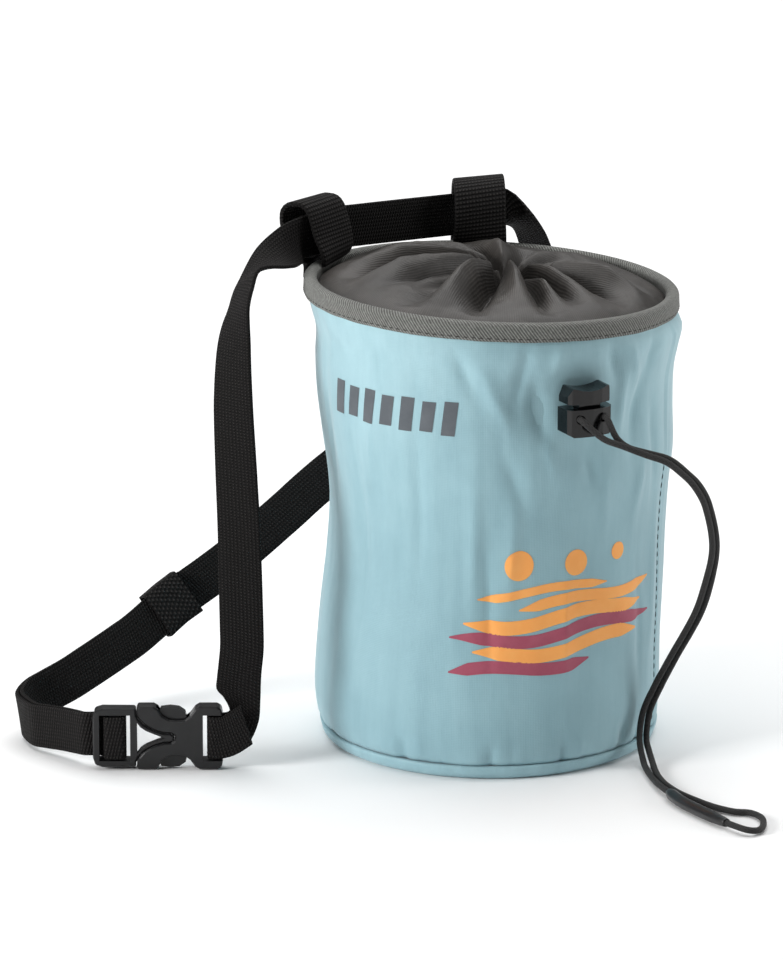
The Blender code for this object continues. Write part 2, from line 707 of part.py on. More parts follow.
def make_male(material):
    """The male half: a ladder frame for the strap, an open tongue and two sprung prongs."""
    matrix = buckle_matrix()
    outer_end, middle_start, middle_end, inner_start, seam = male_bars()
    half_height = WEBBING_WIDTH / 2 + SLOT_PLAY + FRAME_SIDE
    half_slot = WEBBING_WIDTH / 2 + SLOT_PLAY
    half_depth = BUCKLE_THICKNESS / 2
    left = -BUCKLE_LENGTH / 2
    corner = 0.18 * half_height
    outline = [(left, 0.62 * half_height), (left + 0.4 * corner, 0.86 * half_height)]
    outline += [(left + 1.6 * corner, 0.93 * half_height)]
    outline += [(seam + x * TONGUE_LENGTH, z * half_height) for x, z in TONGUE_EDGE]
    body = prism("buckle_male", both_halves(outline), -half_depth, half_depth, matrix, material)
    soften(body, 0.5 * MM)
    window = [(seam + x * TONGUE_LENGTH, z * half_height) for x, z in TONGUE_WINDOW]
    deep = 2 * BUCKLE_THICKNESS
    combine(body, prism("tongue_window", both_halves(window), -deep, deep, matrix), "DIFFERENCE")
    for name, start, end in (
        ("first_slot", outer_end, middle_start),
        ("second_slot", middle_end, inner_start),
    ):
        cutter = box(name, (start, -deep, -half_slot), (end, deep, half_slot), matrix)
        combine(body, cutter, "DIFFERENCE")
    bar_front = MIDDLE_BAR_FRONT
    bar_back = bar_front + MIDDLE_BAR_DEPTH
    over = 0.1 * MM
    front_cut = box(
        "bar_front_cut",
        (middle_start - over, -deep, -half_slot),
        (middle_end + over, bar_front, half_slot),
        matrix,
    )
    back_cut = box(
        "bar_back_cut",
        (middle_start - over, bar_back, -half_slot),
        (middle_end + over, deep, half_slot),
        matrix,
    )
    outer_cut = box(
        "outer_bar_cut",
        (left - 1 * MM, OUTER_BAR_BACK, -half_slot),
        (outer_end + over, deep, half_slot),
        matrix,
    )
    tongue_cut = box(
        "tongue_back_cut",
        (seam + 0.3 * MM, 0.2 * MM, -half_height),
        (seam + 2 * TONGUE_LENGTH, deep, half_height),
        matrix,
    )
    for cutter in (front_cut, back_cut, outer_cut, tongue_cut):
        combine(body, cutter, "DIFFERENCE")
    reach = BUCKLE_LENGTH / 2 - seam
    for side in (1, -1):
        head = [(seam + x * reach, side * z * half_height) for x, z in PRONG_HEAD]
        arm_root = seam - 0.8 * MM
        arm = (
            (arm_root, side * 0.62 * half_height),
            (seam + 0.30 * reach, side * 0.58 * half_height),
            (seam + 0.30 * reach, side * 0.76 * half_height),
            (arm_root, side * 0.79 * half_height),
        )
        word = "upper" if side > 0 else "lower"
        depth = PRONG_THICKNESS / 2
        combine(body, prism(word + "_prong", head, -depth, depth, matrix), "UNION")
        combine(body, prism(word + "_arm", arm, -depth * 0.9, depth * 0.9, matrix), "UNION")
    return body


def make_female(material):
    """The female half: an open-sided housing over the prongs, with the slot for the sewn end."""
    matrix = buckle_matrix()
    seam = male_bars()[-1]
    slot_start, bar_start, bar_end = female_slot()
    half_height = WEBBING_WIDTH / 2 + SLOT_PLAY + FRAME_SIDE
    half_slot = WEBBING_WIDTH / 2 + SLOT_PLAY
    half_depth = BUCKLE_THICKNESS / 2
    reach = BUCKLE_LENGTH / 2 - seam
    gap = CLEAR
    start = seam + gap
    notch = [
        (seam + x * TONGUE_LENGTH + gap, z * half_height + (0.25 * MM if z else 0))
        for x, z in TONGUE_EDGE[1:]
    ]
    edge = [(start + x * (reach - gap), z * half_height) for x, z in FEMALE_EDGE]
    upper = notch[::-1] + edge
    lower = [(x, -z) for x, z in reversed(upper[1:])]
    body = prism("buckle_female", upper + lower, -half_depth, half_depth, matrix, material)
    soften(body, 0.5 * MM)
    deep = 2 * BUCKLE_THICKNESS
    cuts = [box("end_slot", (slot_start, -deep, -half_slot), (bar_start, deep, half_slot), matrix)]
    over = 0.1 * MM
    bar_half = END_BAR_DEPTH / 2
    for word, low, high in (("front", -deep, -bar_half), ("back", bar_half, deep)):
        cuts.append(
            box(
                "end_bar_" + word,
                (bar_start - over, low, -half_slot),
                (BUCKLE_LENGTH / 2 + 1 * MM, high, half_slot),
                matrix,
            )
        )
    cuts.append(
        box(
            "end_rim_cut",
            (bar_end, -deep, -half_slot),
            (BUCKLE_LENGTH / 2 + 1 * MM, deep, half_slot),
            matrix,
        )
    )
    pocket = PRONG_THICKNESS / 2 + PRONG_PLAY
    for side in (1, -1):
        levels = sorted((side * 0.30 * half_height, side * 0.83 * half_height))
        word = "upper" if side > 0 else "lower"
        cuts.append(
            box(
                word + "_pocket",
                (seam - 1 * MM, -pocket, levels[0]),
                (seam + 0.62 * reach, pocket, levels[1]),
                matrix,
            )
        )
        levels = sorted((side * 0.30 * half_height, side * 1.2 * half_height))
        cuts.append(
            box(
                word + "_side_window",
                (seam + 0.235 * reach, -pocket, levels[0]),
                (seam + 0.62 * reach, pocket, levels[1]),
                matrix,
            )
        )
    for cutter in cuts:
        combine(body, cutter, "DIFFERENCE")
    return body


def fold_edges(rows):
    """Edge points of rows given in webbing widths from the buckle's middle."""
    middle = buckle_middle()
    edges = []
    for first_x, first_z, second_x, second_z, depth in rows:
        a = middle + Vector((first_x, depth, first_z)) * WEBBING_WIDTH
        b = middle + Vector((second_x, depth, second_z)) * WEBBING_WIDTH
        edges.append((a, b))
    return edges


def wrap_edges(turns, upside_down):
    """Edge points where the webbing runs upright through the buckle: (along, depth) points."""
    middle = buckle_middle()
    half = Vector((0, 0, WEBBING_WIDTH / 2)) * (-1 if upside_down else 1)
    return [
        (middle + Vector((x, y, 0)) + half, middle + Vector((x, y, 0)) - half) for x, y in turns
    ]


def end_bar_turns():
    """The webbing round the end bar, from the front layer to the back one."""
    _, bar_start, _ = female_slot()
    off = CLEAR + WEBBING_THICKNESS / 2 + 0.15 * MM
    cut = off * math.sqrt(0.5)
    half = END_BAR_DEPTH / 2
    return [
        (bar_start + END_BAR, -half - off),
        (bar_start, -half - off),
        (bar_start - cut, -half - cut),
        (bar_start - off, -half),
        (bar_start - off, half),
        (bar_start - cut, half + cut),
        (bar_start, half + off),
        (bar_start + END_BAR, half + off),
    ]


def middle_bar_turns():
    """The webbing from the left, under the outer bar, over the middle bar and back to the left."""
    outer_end, bar_start, bar_end, _, _ = male_bars()
    off = CLEAR + WEBBING_THICKNESS / 2 + 0.15 * MM
    cut = off * math.sqrt(0.5)
    front = MIDDLE_BAR_FRONT
    back = front + MIDDLE_BAR_DEPTH
    near = OUTER_BAR_BACK + off
    far = near + WEBBING_THICKNESS + LAYER_GAP
    left = -BUCKLE_LENGTH / 2 - 3 * MM
    return [
        (left, near),
        (-BUCKLE_LENGTH / 2, near),
        (outer_end, near),
        (outer_end + cut, OUTER_BAR_BACK + cut),
        (bar_start - off, back - 0.6 * MM),
        (bar_start - off, front),
        (bar_start - cut, front - cut),
        (bar_start, front - off),
        (bar_end, front - off),
        (bar_end + cut, front - cut),
        (bar_end + off, front),
        (bar_end + off, back),
        (bar_end + 0.6 * MM, back + 1.2 * MM),
        (bar_end - 0.6 * MM, back + 2.2 * MM),
        (bar_start + 0.5 * MM, far - 0.1 * MM),
        (outer_end, far),
        (-BUCKLE_LENGTH / 2, far),
        (left, far),
    ]


def strap_edges(points, across, step):
    """Edge points along a smooth strap, with each row's place on the list of points."""
    edges = []
    path = smooth_path(points, step)
    for i, (place, spot) in enumerate(path):
        along = path[min(i + 1, len(path) - 1)][1] - path[max(i - 1, 0)][1]
        low = min(int(place), len(across) - 2)
        side = across[low].lerp(across[low + 1], place - low)
        side = (side - side.project(along)).normalized() * WEBBING_WIDTH / 2
        edges.append((place, spot + side, spot - side))
    return edges


def belt_at_loop(bearing, side, shift):
    """The belt's middle in a loop, shifted along the turned loop, in the lying frame."""
    origin, along, outwards, turn = loop_frame(bearing, side)
    lift, _, _, _, lean = (value * MM for value in LOOP_SHAPES[side])
    across = Matrix.Rotation(math.radians(turn), 3, "Z") @ along
    up = Vector((0, 0, WEBBING_WIDTH / 2 + lift))
    back = Matrix.Rotation(math.radians(-LIE_TURN), 4, "Z")
    return back @ (origin + across * shift + outwards * lean * 0.36 + up)


def belt_rows():
    """All rows of the belt's edges in the lying frame, the diagonal stretch's places, and the tail."""
    down = Vector((0, 0, -1))
    scale = (RIM_RADIUS, RIM_RADIUS, BAG_HEIGHT)

    def spot(row):
        return Vector([value * size for value, size in zip(row[:3], scale)])

    half_loop = LOOP_WIDTH / 2
    up_points = [spot(row) for row in STRAP_UP]
    up_across = [Vector(row[3:]) for row in STRAP_UP]
    fold = fold_edges(FOLD_ROWS)
    last_fold = (fold[-1][0] + fold[-1][1]) / 2
    up_points.insert(0, last_fold)
    up_across.insert(0, (fold[-1][1] - fold[-1][0]).normalized())
    left, right = LOOP_MIDDLE + LOOP_SPREAD, LOOP_MIDDLE - LOOP_SPREAD
    for bearing, side in ((left, 1), (right, -1)):
        for shift in (half_loop, 0, -half_loop):
            up_points.append(belt_at_loop(bearing, side, shift))
            up_across.append(down)
    first_round = len(up_points)
    up_points += [spot(row) for row in STRAP_ROUND]
    up_across += [Vector(row[3:]) for row in STRAP_ROUND]
    wrap = wrap_edges(middle_bar_turns(), True)
    up_points.append((wrap[0][0] + wrap[0][1]) / 2)
    up_across.append(down)
    edges = strap_edges(up_points, up_across, 8 * MM)[1:-1]
    lower = [edge for edge in edges if edge[0] >= first_round + TAIL_END_AT]
    offset = WEBBING_THICKNESS + LAYER_GAP
    tail = []
    for i, (place, a, b) in enumerate(lower):
        after, before = lower[min(i + 1, len(lower) - 1)], lower[max(i - 1, 0)]
        along = (after[1] + after[2]) - (before[1] + before[2])
        normal = along.cross(a - b).normalized() * offset
        drop = (b - a).normalized() * TAIL_DROP * min(1, (len(lower) - 1 - i) / 6)
        tail.append((a + normal + drop, b + normal + drop))
    first = fold_edges(SEWN_END_ROWS) + wrap_edges(end_bar_turns(), False) + fold
    rows = [(b, a) for a, b in first] + [(a, b) for _, a, b in edges] + wrap + tail[::-1]
    places = [(place - first_round, a, b) for place, a, b in edges]
    return rows, places


def make_belt(rows, material):
    """The whole waist belt as one strap: sewn end, loop round the bag, adjuster and tail."""
    turned = [(lie(*a), lie(*b)) for a, b in rows]
    return swept_solid("belt_webbing", ribbon_stations(turned, WEBBING_THICKNESS), material)


def strap_at(places, distance):
    """The strap's middle and directions at a distance along it from the keeper's middle."""
    start = min(range(len(places)), key=lambda k: abs(places[k][0] - KEEPER_AT))
    way = 1 if distance > 0 else -1
    left = abs(distance)
    spot = (places[start][1] + places[start][2]) / 2
    while left > 1e-6:
        after = (places[start + way][1] + places[start + way][2]) / 2
        length = (after - spot).length
        if length > left:
            spot = spot.lerp(after, left / length)
            break
        spot, left, start = after, left - length, start + way
    low, high = places[start - 1], places[start + 1]
    along = ((high[1] + high[2]) - (low[1] + low[2])).normalized()
    across = (places[start][1] - places[start][2]).normalized()
    return spot, across, along.cross(across).normalized()


def make_keeper(places, material):
    """An elastic sleeve round both layers of the strap."""
    play = CLEAR + TAIL_DROP / 2
    half_width = WEBBING_WIDTH / 2 + play + 0.1 * MM
    half_depth = WEBBING_THICKNESS + LAYER_GAP / 2 + 2 * CLEAR
    rows = [strap_at(places, share * KEEPER_LENGTH / 2) for share in (-1, -0.5, 0, 0.5, 1)]
    stations = []
    outline = ((1, 0.5), (1, -0.5), (0.94, -1), (-0.94, -1), (-1, -0.5), (-1, 0.5), (-0.94, 1), (0.94, 1))
    for w, d in outline:
        outer, inner = [], []
        for spot, across, normal in rows:
            centre = spot + normal * (WEBBING_THICKNESS + LAYER_GAP) / 2 - across * TAIL_DROP / 2
            inner.append(centre + across * half_width * w + normal * half_depth * d)
            wide, deep = half_width + KEEPER_WALL, half_depth + KEEPER_WALL
            outer.append(centre + across * wide * w + normal * deep * d)
        stations.append([lie(*point) for point in outer + inner[::-1]])
    return ring_solid("strap_keeper", stations, material)


def lock_matrix(height):
    """The lock's frame: x along the wall, y into the bag, z up, at the back of the lock."""
    levels = [LOCK_FOOT + k * 2 * MM for k in range(10)]
    wall = max(wall_radius(LOCK_TOWARDS, level) for level in levels) + CLEAR + 0.1 * MM
    place = polar(wall, LOCK_TOWARDS, LOCK_FOOT + height)
    turn = Matrix.Rotation(math.radians(LOCK_TOWARDS + 90), 4, "Z")
    return Matrix.Translation(place) @ turn


def lock_outline(shrink=0.0):
    half = [
        (side * (LOCK_WIDTH / 2 - shrink), -reach * (LOCK_DEPTH - shrink))
        for side, reach in LOCK_PLAN
    ]
    return [(-x, y) for x, y in half[:0:-1]] + half


def make_lock_body(material):
    """The lower half of the cord lock: a well for the stem and two holes for the cord."""
    matrix = lock_matrix(0)
    body = prism("lock_body", lock_outline(), 0, LOCK_BODY_HEIGHT, matrix, material, axis="z")
    cut = 3.4 * MM
    for side in (1, -1):
        edge = side * LOCK_WIDTH / 2
        beyond = side * (LOCK_WIDTH / 2 + cut)
        corner = ((edge - side * cut, -cut / 4), (beyond, -cut / 4), (beyond, cut))
        word = "right" if side > 0 else "left"
        chamfer = prism(
            word + "_lower_corner", corner, -2 * LOCK_DEPTH, LOCK_DEPTH, matrix
        )
        combine(body, chamfer, "DIFFERENCE")
    stem_back = -LOCK_DEPTH / 2 + LOCK_STEM_DEPTH / 2 + CLEAR
    well = box(
        "stem_well",
        (
            -LOCK_STEM_WIDTH / 2 - CLEAR,
            stem_back - LOCK_STEM_DEPTH - 2 * CLEAR,
            LOCK_BODY_HEIGHT - LOCK_STEM_REACH - LOCK_TRAVEL - 2 * CLEAR,
        ),
        (LOCK_STEM_WIDTH / 2 + CLEAR, stem_back, LOCK_BODY_HEIGHT + 1 * MM),
        matrix,
    )
    combine(body, well, "DIFFERENCE")
    for side in (1, -1):
        centre = (side * LOCK_HOLE_SPACING / 2, LOCK_HOLE_HEIGHT)
        ring = [
            (
                centre[0] + LOCK_HOLE / 2 * math.cos(math.tau * k / 12),
                centre[1] + LOCK_HOLE / 2 * math.sin(math.tau * k / 12),
            )
            for k in range(12)
        ]
        face = LOCK_PLAN[1][1] * LOCK_DEPTH
        word = "right" if side > 0 else "left"
        hole = prism(
            word + "_hole", ring, -face - 3 * MM, -face + LOCK_HOLE_DEPTH, matrix
        )
        combine(body, hole, "DIFFERENCE")
    return body


def make_lock_button(material):
    """The upper half, which slides down on its stem: its top is a saddle for the thumb."""
    matrix = lock_matrix(LOCK_BODY_HEIGHT + LOCK_TRAVEL + 2 * CLEAR)
    height = LOCK_BUTTON_HEIGHT
    button = prism(
        "lock_button", lock_outline(0.4 * MM), 0, height, matrix, material, axis="z"
    )
    sag = 1.1 * MM
    half = LOCK_WIDTH / 2
    for side in (1, -1):
        foot = 0.18 * height
        beyond = side * (half + LOCK_SHOULDER)
        slope = (
            (side * (half - LOCK_SHOULDER), height + sag),
            (beyond, height + sag),
            (beyond, foot),
            (side * half, foot),
        )
        word = "right" if side > 0 else "left"
        shoulder = prism(word + "_shoulder", slope, -2 * LOCK_DEPTH, LOCK_DEPTH, matrix)
        combine(button, shoulder, "DIFFERENCE")
    saddle = [(-0.7 * half, height + sag)]
    for k in range(9):
        x = (k / 4 - 1) * 0.7 * half
        saddle.append((x, height - sag * (1 - (k / 4 - 1) ** 2)))
    saddle.append((0.7 * half, height + sag))
    dip = prism("thumb_saddle", saddle[1:-1][::-1] + [saddle[0], saddle[-1]], -2 * LOCK_DEPTH,
                LOCK_DEPTH, matrix)
    combine(button, dip, "DIFFERENCE")
    stem_middle = -LOCK_DEPTH / 2
    stem = box(
        "stem",
        (
            -LOCK_STEM_WIDTH / 2,
            stem_middle - LOCK_STEM_DEPTH / 2,
            -LOCK_TRAVEL - 2 * CLEAR - LOCK_STEM_REACH,
        ),
        (LOCK_STEM_WIDTH / 2, stem_middle + LOCK_STEM_DEPTH / 2, 1 * MM),
        matrix,
    )
    combine(button, stem, "UNION")
    return button


def cord_points():
    points = [lie(*(Vector(point) * MM)) for point in CORD_ROUTE]
    matrix = lock_matrix(0)
    face = LOCK_PLAN[1][1] * LOCK_DEPTH
    for side in (-1, 1):
        deep = (side * LOCK_HOLE_SPACING / 2, LOCK_HOLE_DEPTH - CLEAR - face, LOCK_HOLE_HEIGHT)
        out = (side * (LOCK_HOLE_SPACING / 2 + 0.3 * MM), -1.6 * MM - face, LOCK_HOLE_HEIGHT)
        ends = [matrix @ Vector(deep), matrix @ Vector(out)]
        points = ends + points if side < 0 else points + ends[::-1]
    return smooth_path(points, CORD_STEP)


def make_cord(material):
    """One cord: both strands and the end loop."""
    curve = bpy.data.curves.new("pull_cord", "CURVE")
    curve.dimensions = "3D"
    curve.bevel_depth = CORD_DIAMETER / 2
    curve.bevel_resolution = 2
    curve.use_fill_caps = True
    path = [point for _, point in cord_points()]
    spline = curve.splines.new("POLY")
    spline.points.add(len(path) - 1)
    for target, point in zip(spline.points, path):
        target.co = (*point, 1)
    curve.materials.append(material)
    cord = bpy.data.objects.new("pull_cord", curve)
    bpy.context.scene.collection.objects.link(cord)
    return cord


def make_sleeve(material):
    """Shrink tube round the lower strand, over the join of the cord."""
    path = [point for place, point in cord_points() if SLEEVE_FROM <= place <= SLEEVE_TO]
    inner = CORD_DIAMETER / 2 + CLEAR
    outer = inner + SLEEVE_WALL
    sides = 10
    columns = [[] for _ in range(sides)]
    for i, point in enumerate(path):
        along = (path[min(i + 1, len(path) - 1)] - path[max(i - 1, 0)]).normalized()
        across = along.cross(Vector((0, 0, 1))).normalized()
        over = across.cross(along)
        for k in range(sides):
            angle = math.tau * k / sides
            way = across * math.cos(angle) + over * math.sin(angle)
            columns[k].append((point + way * outer, point + way * inner))
    stations = []
    for column in columns:
        stations.append([pair[0] for pair in column] + [pair[1] for pair in column[::-1]])
    return ring_solid("cord_sleeve", stations, material)


def main():
    for thing in list(bpy.data.objects):
        bpy.data.objects.remove(thing, do_unlink=True)
    paint = {name: make_material(name) for name in MATERIALS}
    make_shell(paint["shell_fabric"])
    make_base_panel(paint["shell_fabric"])
    make_binding(paint["binding_tape"])
    make_collar(paint["collar_fabric"])
    make_loop("belt_loop_left", LOOP_MIDDLE + LOOP_SPREAD, 1, paint["webbing"])
    make_loop("belt_loop_right", LOOP_MIDDLE - LOOP_SPREAD, -1, paint["webbing"])
    rows, places = belt_rows()
    make_belt(rows, paint["webbing"])
    make_keeper(places, paint["keeper_elastic"])
    make_male(paint["buckle_plastic"])
    make_female(paint["buckle_plastic"])
    make_lock_body(paint["lock_plastic"])
    make_lock_button(paint["lock_plastic"])
    make_cord(paint["cord_braid"])
    make_sleeve(paint["shrink_sleeve"])


main()
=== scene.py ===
"""The chalk bag as it looks: cloth, webbing, moulded plastic, braided cord, on a pale floor."""

import math

import bmesh
import bpy
import numpy as np
from mathutils import Matrix, Vector, noise


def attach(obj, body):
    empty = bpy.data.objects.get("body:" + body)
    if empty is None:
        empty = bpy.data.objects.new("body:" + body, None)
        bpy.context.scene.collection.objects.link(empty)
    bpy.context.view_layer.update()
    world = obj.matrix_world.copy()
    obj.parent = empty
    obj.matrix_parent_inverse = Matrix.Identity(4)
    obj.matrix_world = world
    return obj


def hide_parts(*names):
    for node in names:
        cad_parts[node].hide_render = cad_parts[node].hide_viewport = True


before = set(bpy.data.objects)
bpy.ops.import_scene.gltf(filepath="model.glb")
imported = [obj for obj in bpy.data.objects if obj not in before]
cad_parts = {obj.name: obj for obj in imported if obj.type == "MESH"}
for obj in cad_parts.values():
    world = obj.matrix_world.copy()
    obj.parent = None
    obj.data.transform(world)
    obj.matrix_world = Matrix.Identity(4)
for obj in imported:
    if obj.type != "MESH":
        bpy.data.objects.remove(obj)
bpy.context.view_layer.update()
MM = 0.001

# Bag: heights are from the floor, radii are to the wall's outer face
BAG_HEIGHT = 160 * MM
RIM_RADIUS = 63.1 * MM
BASE_RADIUS = 58.6 * MM
WALL = 2.0 * MM
BASE_WALL = 2.0 * MM
BASE_EDGE_HEIGHT = 5.0 * MM
BASE_CORNER = 3.6 * MM
CLEAR = 0.3 * MM
RIM_LEAN = 3.3 * MM
RIM_LEAN_TOWARDS = 175.0

# Binding tape folded over the wall's top edge
BINDING_HEIGHT = 6.4 * MM
BINDING_TAPE = 1.0 * MM

# Gathered collar
COLLAR_WALL = 1.5 * MM
COLLAR_RISE = 7.0 * MM
COLLAR_FOLD = 7.0 * MM
MOUTH_RADIUS = 4.6 * MM
GATHER_AWAY = 10.5 * MM
GATHER_RIGHT = 4.0 * MM

# Belt and its loops
WEBBING_WIDTH = 15.0 * MM
WEBBING_THICKNESS = 1.4 * MM
LAYER_GAP = 0.4 * MM
LOOP_WIDTH = 19.0 * MM
LOOP_THICKNESS = 1.6 * MM
LOOP_OVERHANG = 5.0 * MM
LOOP_SPREAD = 31.5
LOOP_MIDDLE = 91.5
LOOP_TURN = 17.0

# The two belt loops, in millimetres: how far the belt lies over the rim, the loop's headroom
# over the webbing, how far its inner and outer plies bulge, and how far its top leans outwards
LOOP_SHAPES = {
    # side: (lift, headroom, inner, outer, lean)
    1: (1.5, 4.6, 2.2, 2.6, 4.5),
    -1: (2.9, 6.6, 4.6, 4.6, 0.0),
}

# Buckle, along the strap
BUCKLE_LENGTH = 44.5 * MM
FRAME_SIDE = 3.0 * MM
SLOT_PLAY = 0.7 * MM
OUTER_BAR = 2.2 * MM
MIDDLE_BAR = 4.2 * MM
MIDDLE_BAR_DEPTH = 2.2 * MM
MIDDLE_BAR_FRONT = -1.8 * MM
OUTER_BAR_BACK = 0.6 * MM
INNER_BAR = 1.9 * MM
END_BAR = 2.8 * MM
END_BAR_DEPTH = 2.4 * MM

# Strap keeper
KEEPER_LENGTH = 14.7 * MM
KEEPER_WALL = 0.7 * MM
TAIL_DROP = 0.4 * MM

# Cord lock
LOCK_TOWARDS = -96.8
LOCK_FOOT = 0.766 * BAG_HEIGHT
LOCK_DEPTH = 9.0 * MM
LOCK_BODY_HEIGHT = 9.5 * MM
LOCK_HOLE_DEPTH = 1.5 * MM
LOCK_HOLE_SPACING = 8.6 * MM
LOCK_HOLE_HEIGHT = 6.1 * MM

# Pull cord
CORD_DIAMETER = 2.2 * MM
CORD_STEP = 6.9 * MM

# The belt and the cord lie in a frame turned from the bag's front: x to the right, y away, z up
LIE_TURN = -34.0

# The wall's sections: height as a share of the bag's height; radius, and the middle's shift to the
# left and to the front (in the lying frame), as shares of the rim's radius
WALL_SECTIONS = (
    # height, radius, left, front
    (0.033, 0.928, 0.017, 0.040),
    (0.08, 0.944, 0.027, 0.034),
    (0.14, 0.948, 0.026, 0.025),
    (0.22, 0.941, 0.017, 0.016),
    (0.30, 0.932, 0.0, 0.008),
    (0.38, 0.921, -0.019, 0.0),
    (0.47, 0.917, -0.029, 0.0),
    (0.56, 0.928, -0.031, 0.0),
    (0.65, 0.955, -0.027, 0.0),
    (0.74, 0.967, -0.010, 0.0),
    (0.82, 0.974, -0.008, -0.004),
    (0.87, 0.984, -0.022, -0.006),
    (0.91, 1.006, -0.018, -0.010),
    (0.94, 1.0, 0.010, -0.016),
)

# Soft dents and bulges of the wall: bearing in degrees, height as a share of the bag's height, half
# widths in degrees and as a share of the height, and depth as a share of the rim's radius
WALL_DENTS = (
    # bearing, height, half_angle, half_height, depth
    (-112, 0.80, 9, 0.07, -0.022),
    (-96, 0.70, 12, 0.045, -0.016),
    (-74, 0.76, 9, 0.09, -0.018),
    (-84, 0.90, 12, 0.03, -0.012),
    (-128, 0.55, 14, 0.10, 0.012),
    (-70, 0.30, 18, 0.10, 0.012),
    (30, 0.55, 24, 0.15, -0.015),
    (85, 0.30, 26, 0.12, 0.012),
    (100, 0.72, 22, 0.12, -0.014),
    (200, 0.35, 14, 0.14, -0.010),
)

# Collar from its seam at the rim (0) to the mouth (1): its height as a share of the rise over
# the rim, and how much of the folds shows there
COLLAR_PROFILE = (
    # inward, rise, folds
    (0.0, -0.49, 0.0),
    (0.10, 0.02, 0.12),
    (0.22, 0.36, 0.36),
    (0.37, 0.58, 0.62),
    (0.53, 0.66, 0.86),
    (0.69, 0.60, 1.0),
    (0.83, 0.42, 1.0),
    (0.94, 0.16, 0.8),
    (1.0, -0.30, 0.45),
)

# Ridges of the gathered collar: bearing in the lying frame, half width in degrees, and height
# as a share
COLLAR_RIDGES = (
    # bearing, half_angle, height
    (10, 15, 0.55),
    (50, 14, 0.60),
    (92, 15, 0.75),
    (136, 17, 0.80),
    (176, 13, 0.55),
    (210, 12, 0.60),
    (243, 11, 1.0),
    (284, 10, 0.85),
    (312, 9, 0.95),
    (346, 12, 0.60),
)

# Belt loop in its own plane, from its inner foot over the top to its outer foot: its side, the
# bulge beyond the foot, and height and turn as shares of the loop's
LOOP_ROWS = (
    # side, bulge, height, turn
    (-1, 0.0, -0.015, 0.0),
    (-1, 0.45, 0.05, 0.2),
    (-1, 0.85, 0.20, 0.6),
    (-1, 1.0, 0.45, 1.0),
    (-1, 1.0, 0.66, 1.0),
    (-1, 0.62, 0.87, 1.0),
    (-1, -0.2, 0.98, 1.0),
    (0, 0.0, 1.0, 1.0),
    (1, -0.2, 0.98, 1.0),
    (1, 0.62, 0.87, 1.0),
    (1, 1.0, 0.66, 1.0),
    (1, 1.0, 0.45, 1.0),
    (1, 0.85, 0.20, 0.9),
    (1, 0.45, 0.05, 0.5),
    (1, 0.0, -0.015, 0.0),
)

# Belt from the buckle up to the left loop: the middle of the webbing as shares of the rim's radius
# and of the bag's height, and the direction across the webbing
STRAP_UP = (
    # x, y, z, across_x, across_y, across_z
    (-1.362, -0.735, 0.265, 1.0, -0.03, 0.0),
    (-1.366, -0.684, 0.369, 1.0, -0.10, 0.0),
    (-1.376, -0.618, 0.517, 1.0, -0.25, 0.0),
    (-1.391, -0.539, 0.641, 0.95, -0.33, 0.05),
    (-1.407, -0.428, 0.783, 0.87, -0.45, 0.18),
    (-1.403, -0.317, 0.893, 0.74, -0.63, 0.24),
    (-1.378, -0.238, 0.964, 0.48, -0.81, 0.33),
    (-1.320, -0.143, 1.026, 0.46, -0.75, 0.47),
    (-1.216, 0.0, 1.043, 0.85, -0.51, -0.11),
)

# Belt from the right loop round behind the bag, down to the floor at the left and on to the buckle
STRAP_ROUND = (
    # x, y, z, across_x, across_y, across_z
    (0.138, 1.046, 1.040, -0.72, 0.58, -0.39),
    (0.214, 1.109, 1.005, -0.70, 0.71, -0.07),
    (0.262, 1.150, 0.955, -0.70, 0.70, -0.16),
    (0.325, 1.170, 0.905, -0.77, 0.59, -0.23),
    (0.400, 1.220, 0.850, -0.70, 0.69, 0.17),
    (0.390, 1.310, 0.785, -0.31, 0.81, 0.50),
    (0.220, 1.360, 0.715, -0.05, 1.0, 0.06),
    (-0.160, 1.300, 0.635, 0.16, 0.71, -0.68),
    (-0.500, 1.170, 0.567, 0.35, -0.10, -1.0),
    (-0.927, 0.951, 0.457, 0.45, -0.20, -1.0),
    (-1.122, 0.840, 0.398, 0.45, -0.20, -1.0),
    (-1.456, 0.666, 0.299, 0.42, -0.20, -1.0),
    (-1.788, 0.460, 0.222, 0.38, -0.22, -1.0),
    (-1.979, 0.317, 0.169, 0.32, -0.22, -1.0),
    (-2.340, 0.095, 0.094, 0.28, -0.20, -1.0),
    (-2.520, -0.050, 0.070, 0.24, -0.20, -1.0),
    (-2.590, -0.238, 0.056, 0.16, -0.12, -1.0),
    (-2.520, -0.412, 0.056, 0.06, 0.0, -1.0),
    (-2.360, -0.560, 0.064, 0.0, 0.0, -1.0),
)
KEEPER_AT = 12.05
TAIL_END_AT = 11.45

# Where the webbing turns up from the buckle: both its edges and its depth, in webbing widths
# from the buckle's middle (x to the right, z up, depth away)
FOLD_ROWS = (
    # inner_x, inner_z, outer_x, outer_z, depth
    (1.54, 0.51, 1.60, -0.50, 0.155),
    (1.64, 0.57, 1.92, -0.38, 0.135),
    (1.60, 0.72, 2.12, -0.14, 0.11),
    (1.49, 0.92, 2.30, 0.33, 0.08),
    (1.34, 1.11, 2.34, 0.84, 0.06),
    (1.355, 1.42, 2.36, 1.38, 0.04),
)
# The sewn end of the webbing, in front: the same columns
SEWN_END_ROWS = (
    # upper_x, upper_z, lower_x, lower_z, depth
    (1.885, 0.80, 2.16, -0.14, -0.175),
    (1.76, 0.71, 1.98, -0.27, -0.175),
    (1.62, 0.61, 1.74, -0.41, -0.175),
)

BUCKLE_AT = (-1.819, -0.737)

# How far the lock's front reaches beside the holes, as a share of its depth
LOCK_FACE = 0.955

